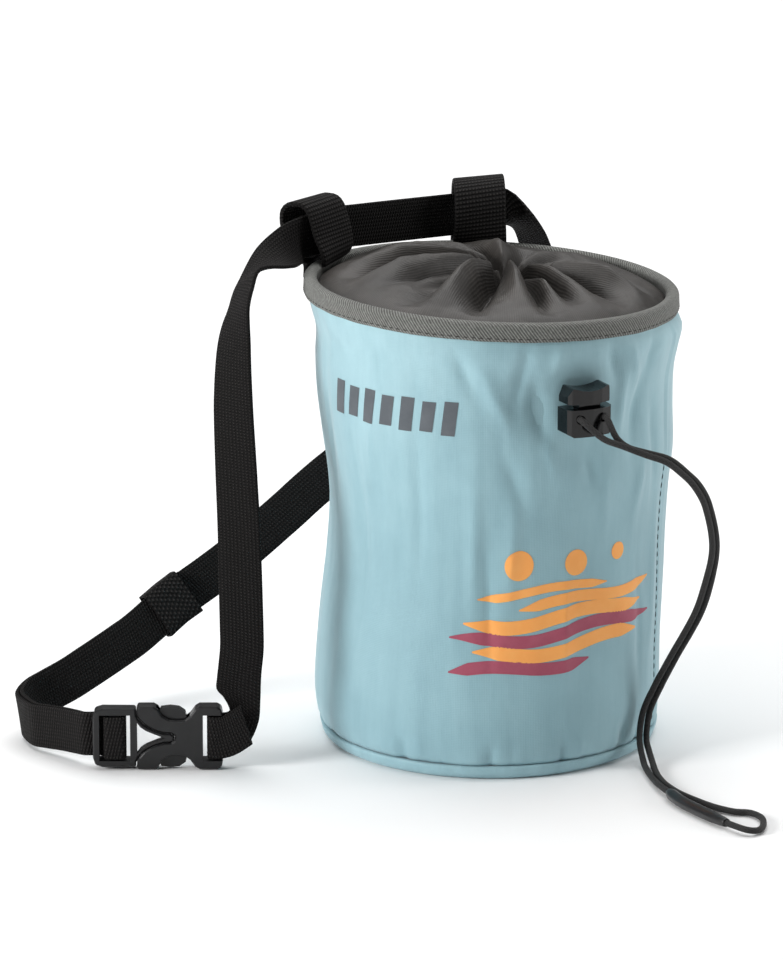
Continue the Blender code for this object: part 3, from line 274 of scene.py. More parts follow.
# Pull cord's route in the lying frame, in millimetres: out of the left hole, down to the floor,
# through the sleeve, round the end loop and back to the right hole
CORD_ROUTE = (
    (36.0, -69.4, 123.4),
    (42.6, -70.2, 121.0),
    (50.1, -68.9, 117.7),
    (57.5, -66.0, 114.2),
    (63.6, -61.9, 108.3),
    (70.0, -57.4, 98.6),
    (73.8, -50.2, 80.5),
    (71.5, -44.0, 64.1),
    (68.1, -40.0, 52.2),
    (61.6, -37.0, 38.7),
    (55.4, -36.0, 26.2),
    (51.5, -37.0, 17.3),
    (50.2, -40.0, 8.4),
    (51.4, -47.0, 2.3),
    (53.4, -59.4, 1.4),
    (56.0, -71.0, 1.9),
    (59.0, -80.0, 2.2),
    (63.0, -90.0, 2.2),
    (69.9, -101.3, 2.2),
    (76.9, -111.5, 2.2),
    (83.2, -118.3, 2.1),
    (87.3, -117.1, 1.6),
    (89.2, -110.7, 1.3),
    (88.9, -103.5, 1.3),
    (85.4, -98.5, 1.3),
    (79.9, -97.1, 1.3),
    (73.2, -91.9, 1.3),
    (67.1, -84.5, 1.3),
    (62.1, -77.5, 1.4),
    (58.5, -70.0, 1.5),
    (55.8, -58.8, 1.4),
    (54.4, -46.8, 2.3),
    (52.6, -38.2, 8.4),
    (53.8, -35.2, 16.7),
    (57.5, -34.2, 25.2),
    (63.5, -35.1, 37.7),
    (70.1, -38.1, 51.2),
    (73.6, -42.1, 63.6),
    (75.4, -47.9, 80.7),
    (71.5, -54.4, 98.6),
    (65.6, -59.0, 107.6),
    (58.9, -62.9, 114.2),
    (51.3, -65.6, 117.3),
    (44.6, -66.8, 119.6),
    (40.4, -66.2, 123.0),
)
SLEEVE_FROM = 18
SLEEVE_TO = 21.7


def interpolate(rows, at, column):
    """The column's value at this value of the first column, on a smooth curve through the rows."""
    first = [row[0] for row in rows]
    if at <= first[0]:
        return rows[0][column]
    if at >= first[-1]:
        return rows[-1][column]
    i = max(k for k in range(len(rows) - 1) if first[k] <= at)
    share = (at - first[i]) / (first[i + 1] - first[i])

    def slope(k):
        low, high = max(k - 1, 0), min(k + 1, len(rows) - 1)
        return (rows[high][column] - rows[low][column]) / (first[high] - first[low])

    step = first[i + 1] - first[i]
    square, cube = share * share, share**3
    return (
        (2 * cube - 3 * square + 1) * rows[i][column]
        + (cube - 2 * square + share) * step * slope(i)
        + (3 * square - 2 * cube) * rows[i + 1][column]
        + (cube - square) * step * slope(i + 1)
    )


def between(angle, middle):
    """The signed angle from the middle to this bearing, in degrees."""
    return (angle - middle + 180) % 360 - 180


def bell(offset, half_width):
    return math.exp(-0.5 * (offset / (0.6 * half_width)) ** 2)


def polar(radius, bearing, height):
    angle = math.radians(bearing)
    return Vector((radius * math.cos(angle), radius * math.sin(angle), height))


def lie(x, y, z):
    """A point of the lying frame in the bag's own frame."""
    return Matrix.Rotation(math.radians(LIE_TURN), 4, "Z") @ Vector((x, y, z))


def rim_height(bearing):
    return BAG_HEIGHT + RIM_LEAN * math.cos(math.radians(bearing - RIM_LEAN_TOWARDS))


def wall_height(bearing, share):
    """The height of a section of the wall. The last one is at the binding's lower edge."""
    first, last = WALL_SECTIONS[0][0], WALL_SECTIONS[-1][0]
    foot = BASE_EDGE_HEIGHT + CLEAR
    top = rim_height(bearing) - BINDING_HEIGHT - CLEAR
    return foot + (share - first) / (last - first) * (top - foot)


def wall_radius(bearing, height):
    """The wall's outer radius. Under the binding it doesn't change with the height."""
    first, last = WALL_SECTIONS[0][0], WALL_SECTIONS[-1][0]
    foot, top = wall_height(bearing, first), wall_height(bearing, last)
    share = min(first + (height - foot) / (top - foot) * (last - first), last)
    turned = math.radians(bearing - LIE_TURN)
    left = interpolate(WALL_SECTIONS, share, 2) * -math.cos(turned)
    front = interpolate(WALL_SECTIONS, share, 3) * -math.sin(turned)
    taper = BASE_RADIUS / (WALL_SECTIONS[0][1] * RIM_RADIUS)
    foot = WALL_SECTIONS[0][0]
    fit = 1 + (taper - 1) * (1 - min(1, (share - foot) / (1 - foot)))
    dents = sum(
        depth * bell(between(bearing, middle), half_angle) * bell(share - level, half_height)
        for middle, level, half_angle, half_height, depth in WALL_DENTS
    )
    return RIM_RADIUS * (interpolate(WALL_SECTIONS, share, 1) * fit + left + front + dents)


def spline(before, start, end, after, t):
    """The point at share t from the start to the end, on a curve through all four."""
    return 0.5 * (
        2 * start
        + (end - before) * t
        + (2 * before - 5 * start + 4 * end - after) * t**2
        + (3 * start - before - 3 * end + after) * t**3
    )


def smooth_path(points, step):
    """Points along a smooth curve through the given ones, with each one's place on the list."""
    path = []
    for i in range(len(points) - 1):
        before, after = points[max(i - 1, 0)], points[min(i + 2, len(points) - 1)]
        start, end = points[i], points[i + 1]
        count = max(1, round((end - start).length / step))
        for k in range(count):
            path.append((i + k / count, spline(before, start, end, after, k / count)))
    return path + [(len(points) - 1.0, points[-1])]


def refine(path, count):
    """The path with this many steps between each two points, on a smooth curve."""
    points = []
    for i in range(len(path) - 1):
        before, after = path[max(i - 1, 0)], path[min(i + 2, len(path) - 1)]
        for k in range(count):
            points.append(spline(before, path[i], path[i + 1], after, k / count))
    return points + [path[-1]]


def heading(points, i):
    """The direction along the points at one of them."""
    return (points[min(i + 1, len(points) - 1)] - points[max(i - 1, 0)]).normalized()


def lengths_along(points):
    """The length along the points up to each one."""
    lengths = [0.0]
    for one, two in zip(points, points[1:]):
        lengths.append(lengths[-1] + (two - one).length)
    return lengths


def spokes(across, over, sides):
    """Directions all round a tube, from two that cross it."""
    turns = [math.tau * k / sides for k in range(sides)]
    return [across * math.cos(turn) + over * math.sin(turn) for turn in turns]


def ripple(bearing, scale, layer):
    """Smooth noise from -1 to 1 round the bag."""
    angle = math.radians(bearing)
    return noise.noise(Vector((math.cos(angle) * scale, math.sin(angle) * scale, layer)))


def collar_point(bearing, inward):
    """The collar's upper side at this bearing (bag frame) and share of the way to the mouth."""
    top = rim_height(bearing)
    seam = wall_radius(bearing, top) - WALL - 2 * CLEAR - BINDING_TAPE
    centre = lie(GATHER_RIGHT, GATHER_AWAY, 0)
    spot = polar(seam, bearing, 0).lerp(centre + polar(MOUTH_RADIUS, bearing, 0), inward)
    ridges = sum(
        height * bell(between(bearing - LIE_TURN, middle), half_angle)
        for middle, half_angle, height in COLLAR_RIDGES
    )
    valley = 0.45
    spot.z = (
        top
        + COLLAR_RISE * interpolate(COLLAR_PROFILE, inward, 1)
        + COLLAR_FOLD * interpolate(COLLAR_PROFILE, inward, 2) * (ridges - valley)
    )
    return spot


def loop_frame(bearing, side):
    """A belt loop's middle on the rim's top, and its directions along the rim and outwards."""
    top = rim_height(bearing)
    middle = wall_radius(bearing, top) - WALL / 2
    outwards = polar(1, bearing, 0)
    along = Vector((-outwards.y, outwards.x, 0))
    return polar(middle, bearing, top), along, outwards, -side * LOOP_TURN


def buckle_middle():
    height = WEBBING_WIDTH + 2 * (SLOT_PLAY + FRAME_SIDE)
    x, y = BUCKLE_AT
    return Vector((x * RIM_RADIUS, y * RIM_RADIUS, height / 2 + CLEAR))


def male_bars():
    """Where the male half's bars begin and end along the buckle, from its left end."""
    slot = WEBBING_THICKNESS + 1.8 * MM
    outer_end = -BUCKLE_LENGTH / 2 + OUTER_BAR
    middle_start = outer_end + slot
    middle_end = middle_start + MIDDLE_BAR
    inner_start = middle_end + slot
    return outer_end, middle_start, middle_end, inner_start, inner_start + INNER_BAR


def female_slot():
    """The female half's slot and end bar along the buckle."""
    bar_end = BUCKLE_LENGTH / 2 - 0.8 * MM
    bar_start = bar_end - END_BAR
    return bar_start - WEBBING_THICKNESS - 1.9 * MM, bar_start, bar_end


def fold_edges(rows):
    """Edge points of rows given in webbing widths from the buckle's middle."""
    middle = buckle_middle()
    edges = []
    for first_x, first_z, second_x, second_z, depth in rows:
        a = middle + Vector((first_x, depth, first_z)) * WEBBING_WIDTH
        b = middle + Vector((second_x, depth, second_z)) * WEBBING_WIDTH
        edges.append((a, b))
    return edges


def wrap_edges(turns, upside_down):
    """Edge points where the webbing runs upright through the buckle: (along, depth) points."""
    middle = buckle_middle()
    half = Vector((0, 0, WEBBING_WIDTH / 2)) * (-1 if upside_down else 1)
    return [
        (middle + Vector((x, y, 0)) + half, middle + Vector((x, y, 0)) - half) for x, y in turns
    ]


def end_bar_turns():
    """The webbing round the end bar, from the front layer to the back one."""
    _, bar_start, _ = female_slot()
    off = CLEAR + WEBBING_THICKNESS / 2 + 0.15 * MM
    cut = off * math.sqrt(0.5)
    half = END_BAR_DEPTH / 2
    return [
        (bar_start + END_BAR, -half - off),
        (bar_start, -half - off),
        (bar_start - cut, -half - cut),
        (bar_start - off, -half),
        (bar_start - off, half),
        (bar_start - cut, half + cut),
        (bar_start, half + off),
        (bar_start + END_BAR, half + off),
    ]


def middle_bar_turns():
    """The webbing from the left, under the outer bar, over the middle bar and back to the left."""
    outer_end, bar_start, bar_end, _, _ = male_bars()
    off = CLEAR + WEBBING_THICKNESS / 2 + 0.15 * MM
    cut = off * math.sqrt(0.5)
    front = MIDDLE_BAR_FRONT
    back = front + MIDDLE_BAR_DEPTH
    near = OUTER_BAR_BACK + off
    far = near + WEBBING_THICKNESS + LAYER_GAP
    left = -BUCKLE_LENGTH / 2 - 3 * MM
    return [
        (left, near),
        (-BUCKLE_LENGTH / 2, near),
        (outer_end, near),
        (outer_end + cut, OUTER_BAR_BACK + cut),
        (bar_start - off, back - 0.6 * MM),
        (bar_start - off, front),
        (bar_start - cut, front - cut),
        (bar_start, front - off),
        (bar_end, front - off),
        (bar_end + cut, front - cut),
        (bar_end + off, front),
        (bar_end + off, back),
        (bar_end + 0.6 * MM, back + 1.2 * MM),
        (bar_end - 0.6 * MM, back + 2.2 * MM),
        (bar_start + 0.5 * MM, far - 0.1 * MM),
        (outer_end, far),
        (-BUCKLE_LENGTH / 2, far),
        (left, far),
    ]


def strap_edges(points, across, step):
    """Edge points along a smooth strap, with each row's place on the list of points."""
    edges = []
    path = smooth_path(points, step)
    for i, (place, spot) in enumerate(path):
        along = path[min(i + 1, len(path) - 1)][1] - path[max(i - 1, 0)][1]
        low = min(int(place), len(across) - 2)
        side = across[low].lerp(across[low + 1], place - low)
        side = (side - side.project(along)).normalized() * WEBBING_WIDTH / 2
        edges.append((place, spot + side, spot - side))
    return edges


def belt_at_loop(bearing, side, shift):
    """The belt's middle in a loop, shifted along the turned loop, in the lying frame."""
    origin, along, outwards, turn = loop_frame(bearing, side)
    lift, _, _, _, lean = (value * MM for value in LOOP_SHAPES[side])
    across = Matrix.Rotation(math.radians(turn), 3, "Z") @ along
    up = Vector((0, 0, WEBBING_WIDTH / 2 + lift))
    back = Matrix.Rotation(math.radians(-LIE_TURN), 4, "Z")
    return back @ (origin + across * shift + outwards * lean * 0.36 + up)


def belt_rows():
    """All rows of the belt's edges in the lying frame, and each strap row's place on its list."""
    down = Vector((0, 0, -1))
    scale = (RIM_RADIUS, RIM_RADIUS, BAG_HEIGHT)

    def spot(row):
        return Vector([value * size for value, size in zip(row[:3], scale)])

    half_loop = LOOP_WIDTH / 2
    up_points = [spot(row) for row in STRAP_UP]
    up_across = [Vector(row[3:]) for row in STRAP_UP]
    fold = fold_edges(FOLD_ROWS)
    last_fold = (fold[-1][0] + fold[-1][1]) / 2
    up_points.insert(0, last_fold)
    up_across.insert(0, (fold[-1][1] - fold[-1][0]).normalized())
    left, right = LOOP_MIDDLE + LOOP_SPREAD, LOOP_MIDDLE - LOOP_SPREAD
    for bearing, side in ((left, 1), (right, -1)):
        for shift in (half_loop, 0, -half_loop):
            up_points.append(belt_at_loop(bearing, side, shift))
            up_across.append(down)
    first_round = len(up_points)
    up_points += [spot(row) for row in STRAP_ROUND]
    up_across += [Vector(row[3:]) for row in STRAP_ROUND]
    wrap = wrap_edges(middle_bar_turns(), True)
    up_points.append((wrap[0][0] + wrap[0][1]) / 2)
    up_across.append(down)
    edges = strap_edges(up_points, up_across, 8 * MM)[1:-1]
    lower = [edge for edge in edges if edge[0] >= first_round + TAIL_END_AT]
    offset = WEBBING_THICKNESS + LAYER_GAP
    tail = []
    for i, (place, a, b) in enumerate(lower):
        after, before = lower[min(i + 1, len(lower) - 1)], lower[max(i - 1, 0)]
        along = (after[1] + after[2]) - (before[1] + before[2])
        normal = along.cross(a - b).normalized() * offset
        drop = (b - a).normalized() * TAIL_DROP * min(1, (len(lower) - 1 - i) / 6)
        tail.append((a + normal + drop, b + normal + drop))
    first = fold_edges(SEWN_END_ROWS) + wrap_edges(end_bar_turns(), False) + fold
    rows = [(b, a) for a, b in first] + [(a, b) for _, a, b in edges] + wrap + tail[::-1]
    places = [(place - first_round, a, b) for place, a, b in edges]
    return rows, places


def strap_at(places, distance):
    """The strap's middle and directions at a distance along it from the keeper's middle."""
    start = min(range(len(places)), key=lambda k: abs(places[k][0] - KEEPER_AT))
    way = 1 if distance > 0 else -1
    left = abs(distance)
    spot = (places[start][1] + places[start][2]) / 2
    while left > 1e-6:
        after = (places[start + way][1] + places[start + way][2]) / 2
        length = (after - spot).length
        if length > left:
            spot = spot.lerp(after, left / length)
            break
        spot, left, start = after, left - length, start + way
    low, high = places[start - 1], places[start + 1]
    along = ((high[1] + high[2]) - (low[1] + low[2])).normalized()
    across = (places[start][1] - places[start][2]).normalized()
    return spot, across, along.cross(across).normalized()


def lock_matrix(height):
    """The lock's frame: x along the wall, y into the bag, z up, at the back of the lock."""
    levels = [LOCK_FOOT + k * 2 * MM for k in range(10)]
    wall = max(wall_radius(LOCK_TOWARDS, level) for level in levels) + CLEAR + 0.1 * MM
    place = polar(wall, LOCK_TOWARDS, LOCK_FOOT + height)
    turn = Matrix.Rotation(math.radians(LOCK_TOWARDS + 90), 4, "Z")
    return Matrix.Translation(place) @ turn


def cord_points():
    points = [lie(*(Vector(point) * MM)) for point in CORD_ROUTE]
    matrix = lock_matrix(0)
    face = LOCK_FACE * LOCK_DEPTH
    for side in (-1, 1):
        deep = (side * LOCK_HOLE_SPACING / 2, LOCK_HOLE_DEPTH - CLEAR - face, LOCK_HOLE_HEIGHT)
        out = (side * (LOCK_HOLE_SPACING / 2 + 0.3 * MM), -1.6 * MM - face, LOCK_HOLE_HEIGHT)
        ends = [matrix @ Vector(deep), matrix @ Vector(out)]
        points = ends + points if side < 0 else points + ends[::-1]
    return smooth_path(points, CORD_STEP)


# Camera, in the lying frame: its distance, height angle and the point that it looks at
VIEW_DISTANCE = 2.4
VIEW_HEIGHT = 16.0
VIEW_LENS = 260.5
TARGET_LEFT = 34.9 * MM
TARGET_UP = 89.2 * MM


def make_camera():
    turn = math.radians(LIE_TURN)
    near = Vector((math.sin(turn), -math.cos(turn), 0))
    left = Vector((-math.cos(turn), -math.sin(turn), 0))
    up = Vector((0, 0, 1))
    tilt = math.radians(VIEW_HEIGHT)
    back = near * math.cos(tilt) + up * math.sin(tilt)
    data = bpy.data.cameras.new("camera")
    data.sensor_fit = "VERTICAL"
    data.sensor_height = 36
    data.lens = VIEW_LENS
    data.clip_end = 20
    camera = bpy.data.objects.new("camera", data)
    camera.location = left * TARGET_LEFT + up * TARGET_UP + back * VIEW_DISTANCE
    camera.rotation_euler = (-back).to_track_quat("-Z", "Y").to_euler()
    bpy.context.scene.collection.objects.link(camera)
    bpy.context.scene.camera = camera


def lin(r, g, b):
    """A linear colour from the three 0 to 255 values of a screen colour."""
    out = []
    for value in (r, g, b):
        value = value / 255
        out.append(value / 12.92 if value <= 0.04045 else ((value + 0.055) / 1.055) ** 2.4)
    return (*out, 1.0)


# Colours as a screen shows them, from 0 to 255: dark, middle and pale tones
CLOTH_TONES = (lin(138, 175, 185), lin(153, 190, 199), lin(168, 203, 211))
# Painted shade: a darker cloth tone that the wall is mixed towards low down, where less light falls
CLOTH_PAINTED_SHADE = lin(112, 152, 163)
CLOTH_SPECK = lin(190, 222, 228)
TAPE_TONES = (lin(56, 56, 54), lin(102, 103, 99), lin(152, 153, 149))
NYLON_TONES = (lin(38, 36, 34), lin(54, 51, 48), lin(76, 72, 69))
THREAD_TONES = (lin(38, 36, 35), lin(66, 64, 61))
BRAID_TONES = (lin(7, 7, 7), lin(30, 29, 29))
WEBBING_GREYS = (6, 17, 46)
SLEEVE_COLOUR = lin(30, 30, 31)
BUCKLE_COLOUR = lin(25, 25, 26)
LOCK_COLOUR = lin(5, 5, 6)
PRINT_ORANGE = lin(250, 168, 84)
PRINT_MAROON = lin(160, 70, 92)
PRINT_GREY = lin(78, 84, 90)

# The webbing's cords across it, and the shell's weave, in metres from one to the next
WEBBING_CORD = 0.00125
SHELL_THREAD = 0.0006


class Material:
    """A Principled material with helpers for its nodes."""

    def __init__(self, name, colour, roughness, **settings):
        self.material = bpy.data.materials.new(name)
        self.material.use_nodes = True
        self.tree = self.material.node_tree
        self.shader = self.tree.nodes["Principled BSDF"]
        self.shader.inputs["Base Color"].default_value = colour
        self.shader.inputs["Roughness"].default_value = roughness
        for key, value in settings.items():
            self.shader.inputs[key.replace("_", " ")].default_value = value

    def node(self, kind, inputs=(), **settings):
        node = self.tree.nodes.new(kind)
        for key, value in settings.items():
            setattr(node, key, value)
        for key, value in inputs:
            if isinstance(value, bpy.types.NodeSocket):
                self.tree.links.new(value, node.inputs[key])
            else:
                node.inputs[key].default_value = value
        return node

    def out(self, kind, index, inputs=(), **settings):
        return self.node(kind, inputs, **settings).outputs[index]

    def maths(self, operation, *values):
        return self.out("ShaderNodeMath", 0, list(enumerate(values)), operation=operation)

    def mix(self, factor, one, two):
        return self.out(
            "ShaderNodeMix", 2, ((0, factor), (6, one), (7, two)), data_type="RGBA"
        )

    def ramp(self, value, stops):
        stops = list(stops)
        node = self.node("ShaderNodeValToRGB", ((0, value),))
        while len(node.color_ramp.elements) < len(stops):
            node.color_ramp.elements.new(0.5)
        for element, (place, colour) in zip(node.color_ramp.elements, stops):
            element.position = place
            element.color = (colour, colour, colour, 1) if isinstance(colour, float) else colour
        return node.outputs[0]

    def link(self, value, name):
        self.tree.links.new(value, self.shader.inputs[name])

    def bump(self, height, distance, strength=1.0, normal=None):
        inputs = [("Height", height), ("Distance", distance), ("Strength", strength)]
        if normal:
            inputs.append(("Normal", normal))
        return self.out("ShaderNodeBump", 0, inputs)

    def noise(self, vector, scale, detail=3.0, roughness=0.5):
        return self.out(
            "ShaderNodeTexNoise",
            0,
            (("Vector", vector), ("Scale", scale), ("Detail", detail), ("Roughness", roughness)),
        )

    def object_space(self):
        return self.node("ShaderNodeTexCoord").outputs["Object"]

    def uv(self):
        """The piece's own map: metres along and across it."""
        split = self.node("ShaderNodeSeparateXYZ", ((0, self.node("ShaderNodeUVMap").outputs[0]),))
        return split.outputs[0], split.outputs[1]

    def wave(self, value, period, phase=0.0):
        """A sine of the value with this period in metres, from 0 to 1."""
        turn = self.maths("MULTIPLY_ADD", value, math.tau / period, phase)
        return self.maths("MULTIPLY_ADD", self.maths("SINE", turn), 0.5, 0.5)


def shell_material():
    m = Material("shell_cloth", CLOTH_TONES[1], 0.62, Sheen_Weight=0.25, Sheen_Roughness=0.5)
    place = m.object_space()
    along, up = m.uv()
    blotch = m.noise(place, 26, 4.0, 0.6)
    tall = m.out("ShaderNodeMapping", 0, (("Vector", place), ("Scale", (1.0, 1.0, 0.12))))
    streak = m.noise(tall, 260, 3.0, 0.6)
    shade = m.maths("MULTIPLY_ADD", blotch, 0.7, m.maths("MULTIPLY", streak, 0.3))
    colour = m.ramp(shade, zip((0.30, 0.50, 0.72), CLOTH_TONES))
    grit = m.noise(place, 2400, 2.0, 0.6)
    speck = m.ramp(grit, ((0.66, 0.0), (0.78, 1.0)))
    # Painted shade: the cloth is partly mixed towards the darker tone from about 14 mm to 75 mm up
    # the wall, and is back to its own tone by 160 mm
    height = m.ramp(up, ((0.0, 1.0), (0.014, 0.62), (0.075, 0.62), (0.16, 1.0)))
    deep = m.mix(height, CLOTH_PAINTED_SHADE, colour)
    m.link(m.mix(m.maths("MULTIPLY", speck, 0.12), deep, CLOTH_SPECK), "Base Color")
    m.link(m.ramp(blotch, ((0.3, 0.52), (0.7, 0.72))), "Roughness")
    weave = m.maths("MULTIPLY", m.wave(along, SHELL_THREAD), m.wave(up, SHELL_THREAD))
    fine = m.bump(weave, 0.00006, 0.6)
    soft = m.bump(m.noise(place, 60, 3.0, 0.55), 0.0012, 0.35, fine)
    m.link(m.bump(streak, 0.0002, 0.5, soft), "Normal")
    return m.material


def tape_material():
    m = Material("binding_twill", TAPE_TONES[1], 0.85, Sheen_Weight=0.05)
    along, across = m.uv()
    slant = m.maths("MULTIPLY_ADD", across, 0.75, along)
    rib = m.wave(slant, 0.00112)
    thread = m.wave(m.maths("MULTIPLY_ADD", across, -1.3, along), 0.0007)
    both = m.maths("MULTIPLY_ADD", thread, 0.35, rib)
    fleck = m.noise(m.object_space(), 900, 2.0, 0.7)
    shade = m.maths("MULTIPLY_ADD", fleck, 0.5, m.maths("MULTIPLY", both, 0.5))
    m.link(m.ramp(shade, zip((0.2, 0.55, 0.95), TAPE_TONES)), "Base Color")
    m.link(m.bump(both, 0.00028, 0.8), "Normal")
    return m.material


def collar_material():
    m = Material("collar_nylon", lin(54, 51, 49), 0.48, Specular_IOR_Level=0.4)
    around, _ = m.uv()
    place = m.object_space()
    rib = m.wave(around, 1 / 420)
    blotch = m.noise(place, 70, 3.0, 0.6)
    shade = m.maths("MULTIPLY_ADD", blotch, 0.75, m.maths("MULTIPLY", rib, 0.25))
    m.link(m.ramp(shade, zip((0.25, 0.55, 0.8), NYLON_TONES)), "Base Color")
    fine = m.bump(rib, 0.0001, 0.5)
    soft = m.bump(m.noise(place, 330, 3.0, 0.5), 0.0003, 0.5, fine)
    m.link(m.bump(m.noise(place, 120, 2.0, 0.5), 0.0009, 0.3, soft), "Normal")
    return m.material


def webbing_material(name="belt_weave", pitch=0.00105, tint=1.0, stagger=0.55):
    m = Material(name, lin(16, 15, 15), 0.78, Specular_IOR_Level=0.2)
    along, across = m.uv()
    row = m.maths("FLOOR", m.maths("DIVIDE", across, WEBBING_CORD))
    step = m.maths("MULTIPLY", row, math.pi * stagger)
    turn = m.maths("MULTIPLY_ADD", along, math.tau / pitch, step)
    rib = m.maths("MULTIPLY_ADD", m.maths("SINE", turn), 0.5, 0.5)
    cord = m.wave(across, WEBBING_CORD)
    round_rib = m.maths("POWER", rib, 0.8)
    height = m.maths("MULTIPLY", round_rib, m.maths("MULTIPLY_ADD", cord, 0.6, 0.4))
    fuzz = m.noise(m.object_space(), 1500, 2.0, 0.7)
    shade = m.maths("MULTIPLY_ADD", fuzz, 0.25, m.maths("MULTIPLY", height, 0.75))
    low, mid, high = (int(grey * tint) for grey in WEBBING_GREYS)
    stops = (
        (0.12, lin(low, low - 1, low - 1)),
        (0.5, lin(mid, mid - 2, mid - 3)),
        (0.9, lin(high, high - 3, high - 4)),
    )
    m.link(m.ramp(shade, stops), "Base Color")
    m.link(m.bump(height, 0.0005, 1.0), "Normal")
    return m.material


def thread_material():
    m = Material("thread", lin(52, 50, 48), 0.7)
    twist = m.noise(m.object_space(), 1800, 2.0, 0.6)
    m.link(m.ramp(twist, zip((0.3, 0.7), THREAD_TONES)), "Base Color")
    m.link(m.bump(twist, 0.0001, 0.6), "Normal")
    return m.material


def plastic_material(name, colour, roughness, grain, coat=0.0):
    shine = {"Coat_Weight": coat, "Coat_Roughness": 0.12, "Specular_IOR_Level": 0.35}
    m = Material(name, colour, roughness, **shine)
    place = m.object_space()
    uneven = ((0.35, roughness - 0.06), (0.7, roughness + 0.08))
    m.link(m.ramp(m.noise(place, 240, 3.0, 0.6), uneven), "Roughness")
    fine = m.bump(m.noise(place, 5200, 2.0, 0.6), 0.00002, grain)
    m.link(m.bump(m.noise(place, 160, 2.0, 0.5), 0.0002, 0.12, fine), "Normal")
    dust = m.ramp(m.noise(place, 420, 4.0, 0.7), ((0.58, 0.0), (0.8, 1.0)))
    pale = tuple(min(1.0, value * 2.1 + 0.006) for value in colour[:3]) + (1.0,)
    m.link(m.mix(m.maths("MULTIPLY", dust, 0.35), colour, pale), "Base Color")
    return m.material


def braid_material():
    m = Material("braid", lin(20, 19, 19), 0.72, Sheen_Weight=0.03)
    along, around = m.uv()
    one = m.wave(m.maths("MULTIPLY_ADD", around, 2.0, along), 0.0016)
    two = m.wave(m.maths("MULTIPLY_ADD", around, -2.0, along), 0.0016)
    both = m.maths("MAXIMUM", one, two)
    m.link(m.ramp(both, zip((0.35, 0.9), BRAID_TONES)), "Base Color")
    m.link(m.bump(both, 0.0002, 0.8), "Normal")
    return m.material


def print_material(name, colour):
    m = Material(name, colour, 0.55)
    wear = m.noise(m.object_space(), 150, 4.0, 0.65)
    pale = tuple(min(1.0, value * 1.15 + 0.03) for value in colour[:3]) + (1.0,)
    m.link(m.mix(m.ramp(wear, ((0.4, 0.0), (0.75, 0.6))), colour, pale), "Base Color")
    return m.material


def mesh_object(name, verts, faces, material, uvs=None, smooth=True, body="bag"):
    """A mesh object on its body. uvs gives each face's corners."""
    mesh = bpy.data.meshes.new(name)
    mesh.from_pydata([tuple(v) for v in verts], [], faces)
    if uvs is not None:
        layer = mesh.uv_layers.new(name="map")
        flat = np.array([pair for face in uvs for pair in face], dtype=np.float32)
        layer.data.foreach_set("uv", flat.ravel())
    mesh.materials.append(material)
    mesh.update()
    if smooth:
        mesh.shade_smooth()
    thing = bpy.data.objects.new(name, mesh)
    bpy.context.scene.collection.objects.link(thing)
    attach(thing, body)
    return thing


def grid_object(name, grid, coords, material, close_u=False, close_v=False, sharp=None, caps=False):
    """A grid of points as a surface: rows run along u. coords gives each point's map."""
    rows, columns = len(grid), len(grid[0])
    verts = [point for row in grid for point in row]
    faces, uvs = [], []
    for i in range(rows if close_u else rows - 1):
        for k in range(columns if close_v else columns - 1):
            a, b = (i, k), (i, k + 1)
            c, d = (i + 1, k + 1), (i + 1, k)
            corners = (a, b, c, d)
            faces.append([(r % rows) * columns + (q % columns) for r, q in corners])
            uvs.append([coords(r, q) for r, q in corners])
    if caps:
        for i in (0, rows - 1):
            faces.append([i * columns + k for k in range(columns)][:: -1 if i == 0 else 1])
            uvs.append([coords(i, k) for k in range(columns)][:: -1 if i == 0 else 1])
    thing = mesh_object(name, verts, faces, material, uvs)
    builder = bmesh.new()
    builder.from_mesh(thing.data)
    bmesh.ops.recalc_face_normals(builder, faces=builder.faces)
    builder.to_mesh(thing.data)
    builder.free()
    if sharp:
        thing.data.set_sharp_from_angle(angle=math.radians(sharp))
    return thing


# The wall's sewn side seam: its bearing and how many degrees its stitches are beside it, and
# their count, step and length in mm
SEAM_TOWARDS = -50.5
SEAM_STITCH_AWAY = 1.6
SEAM_STITCHES = 30
SEAM_STITCH_STEP = 3.1
SEAM_STITCH = 2.2
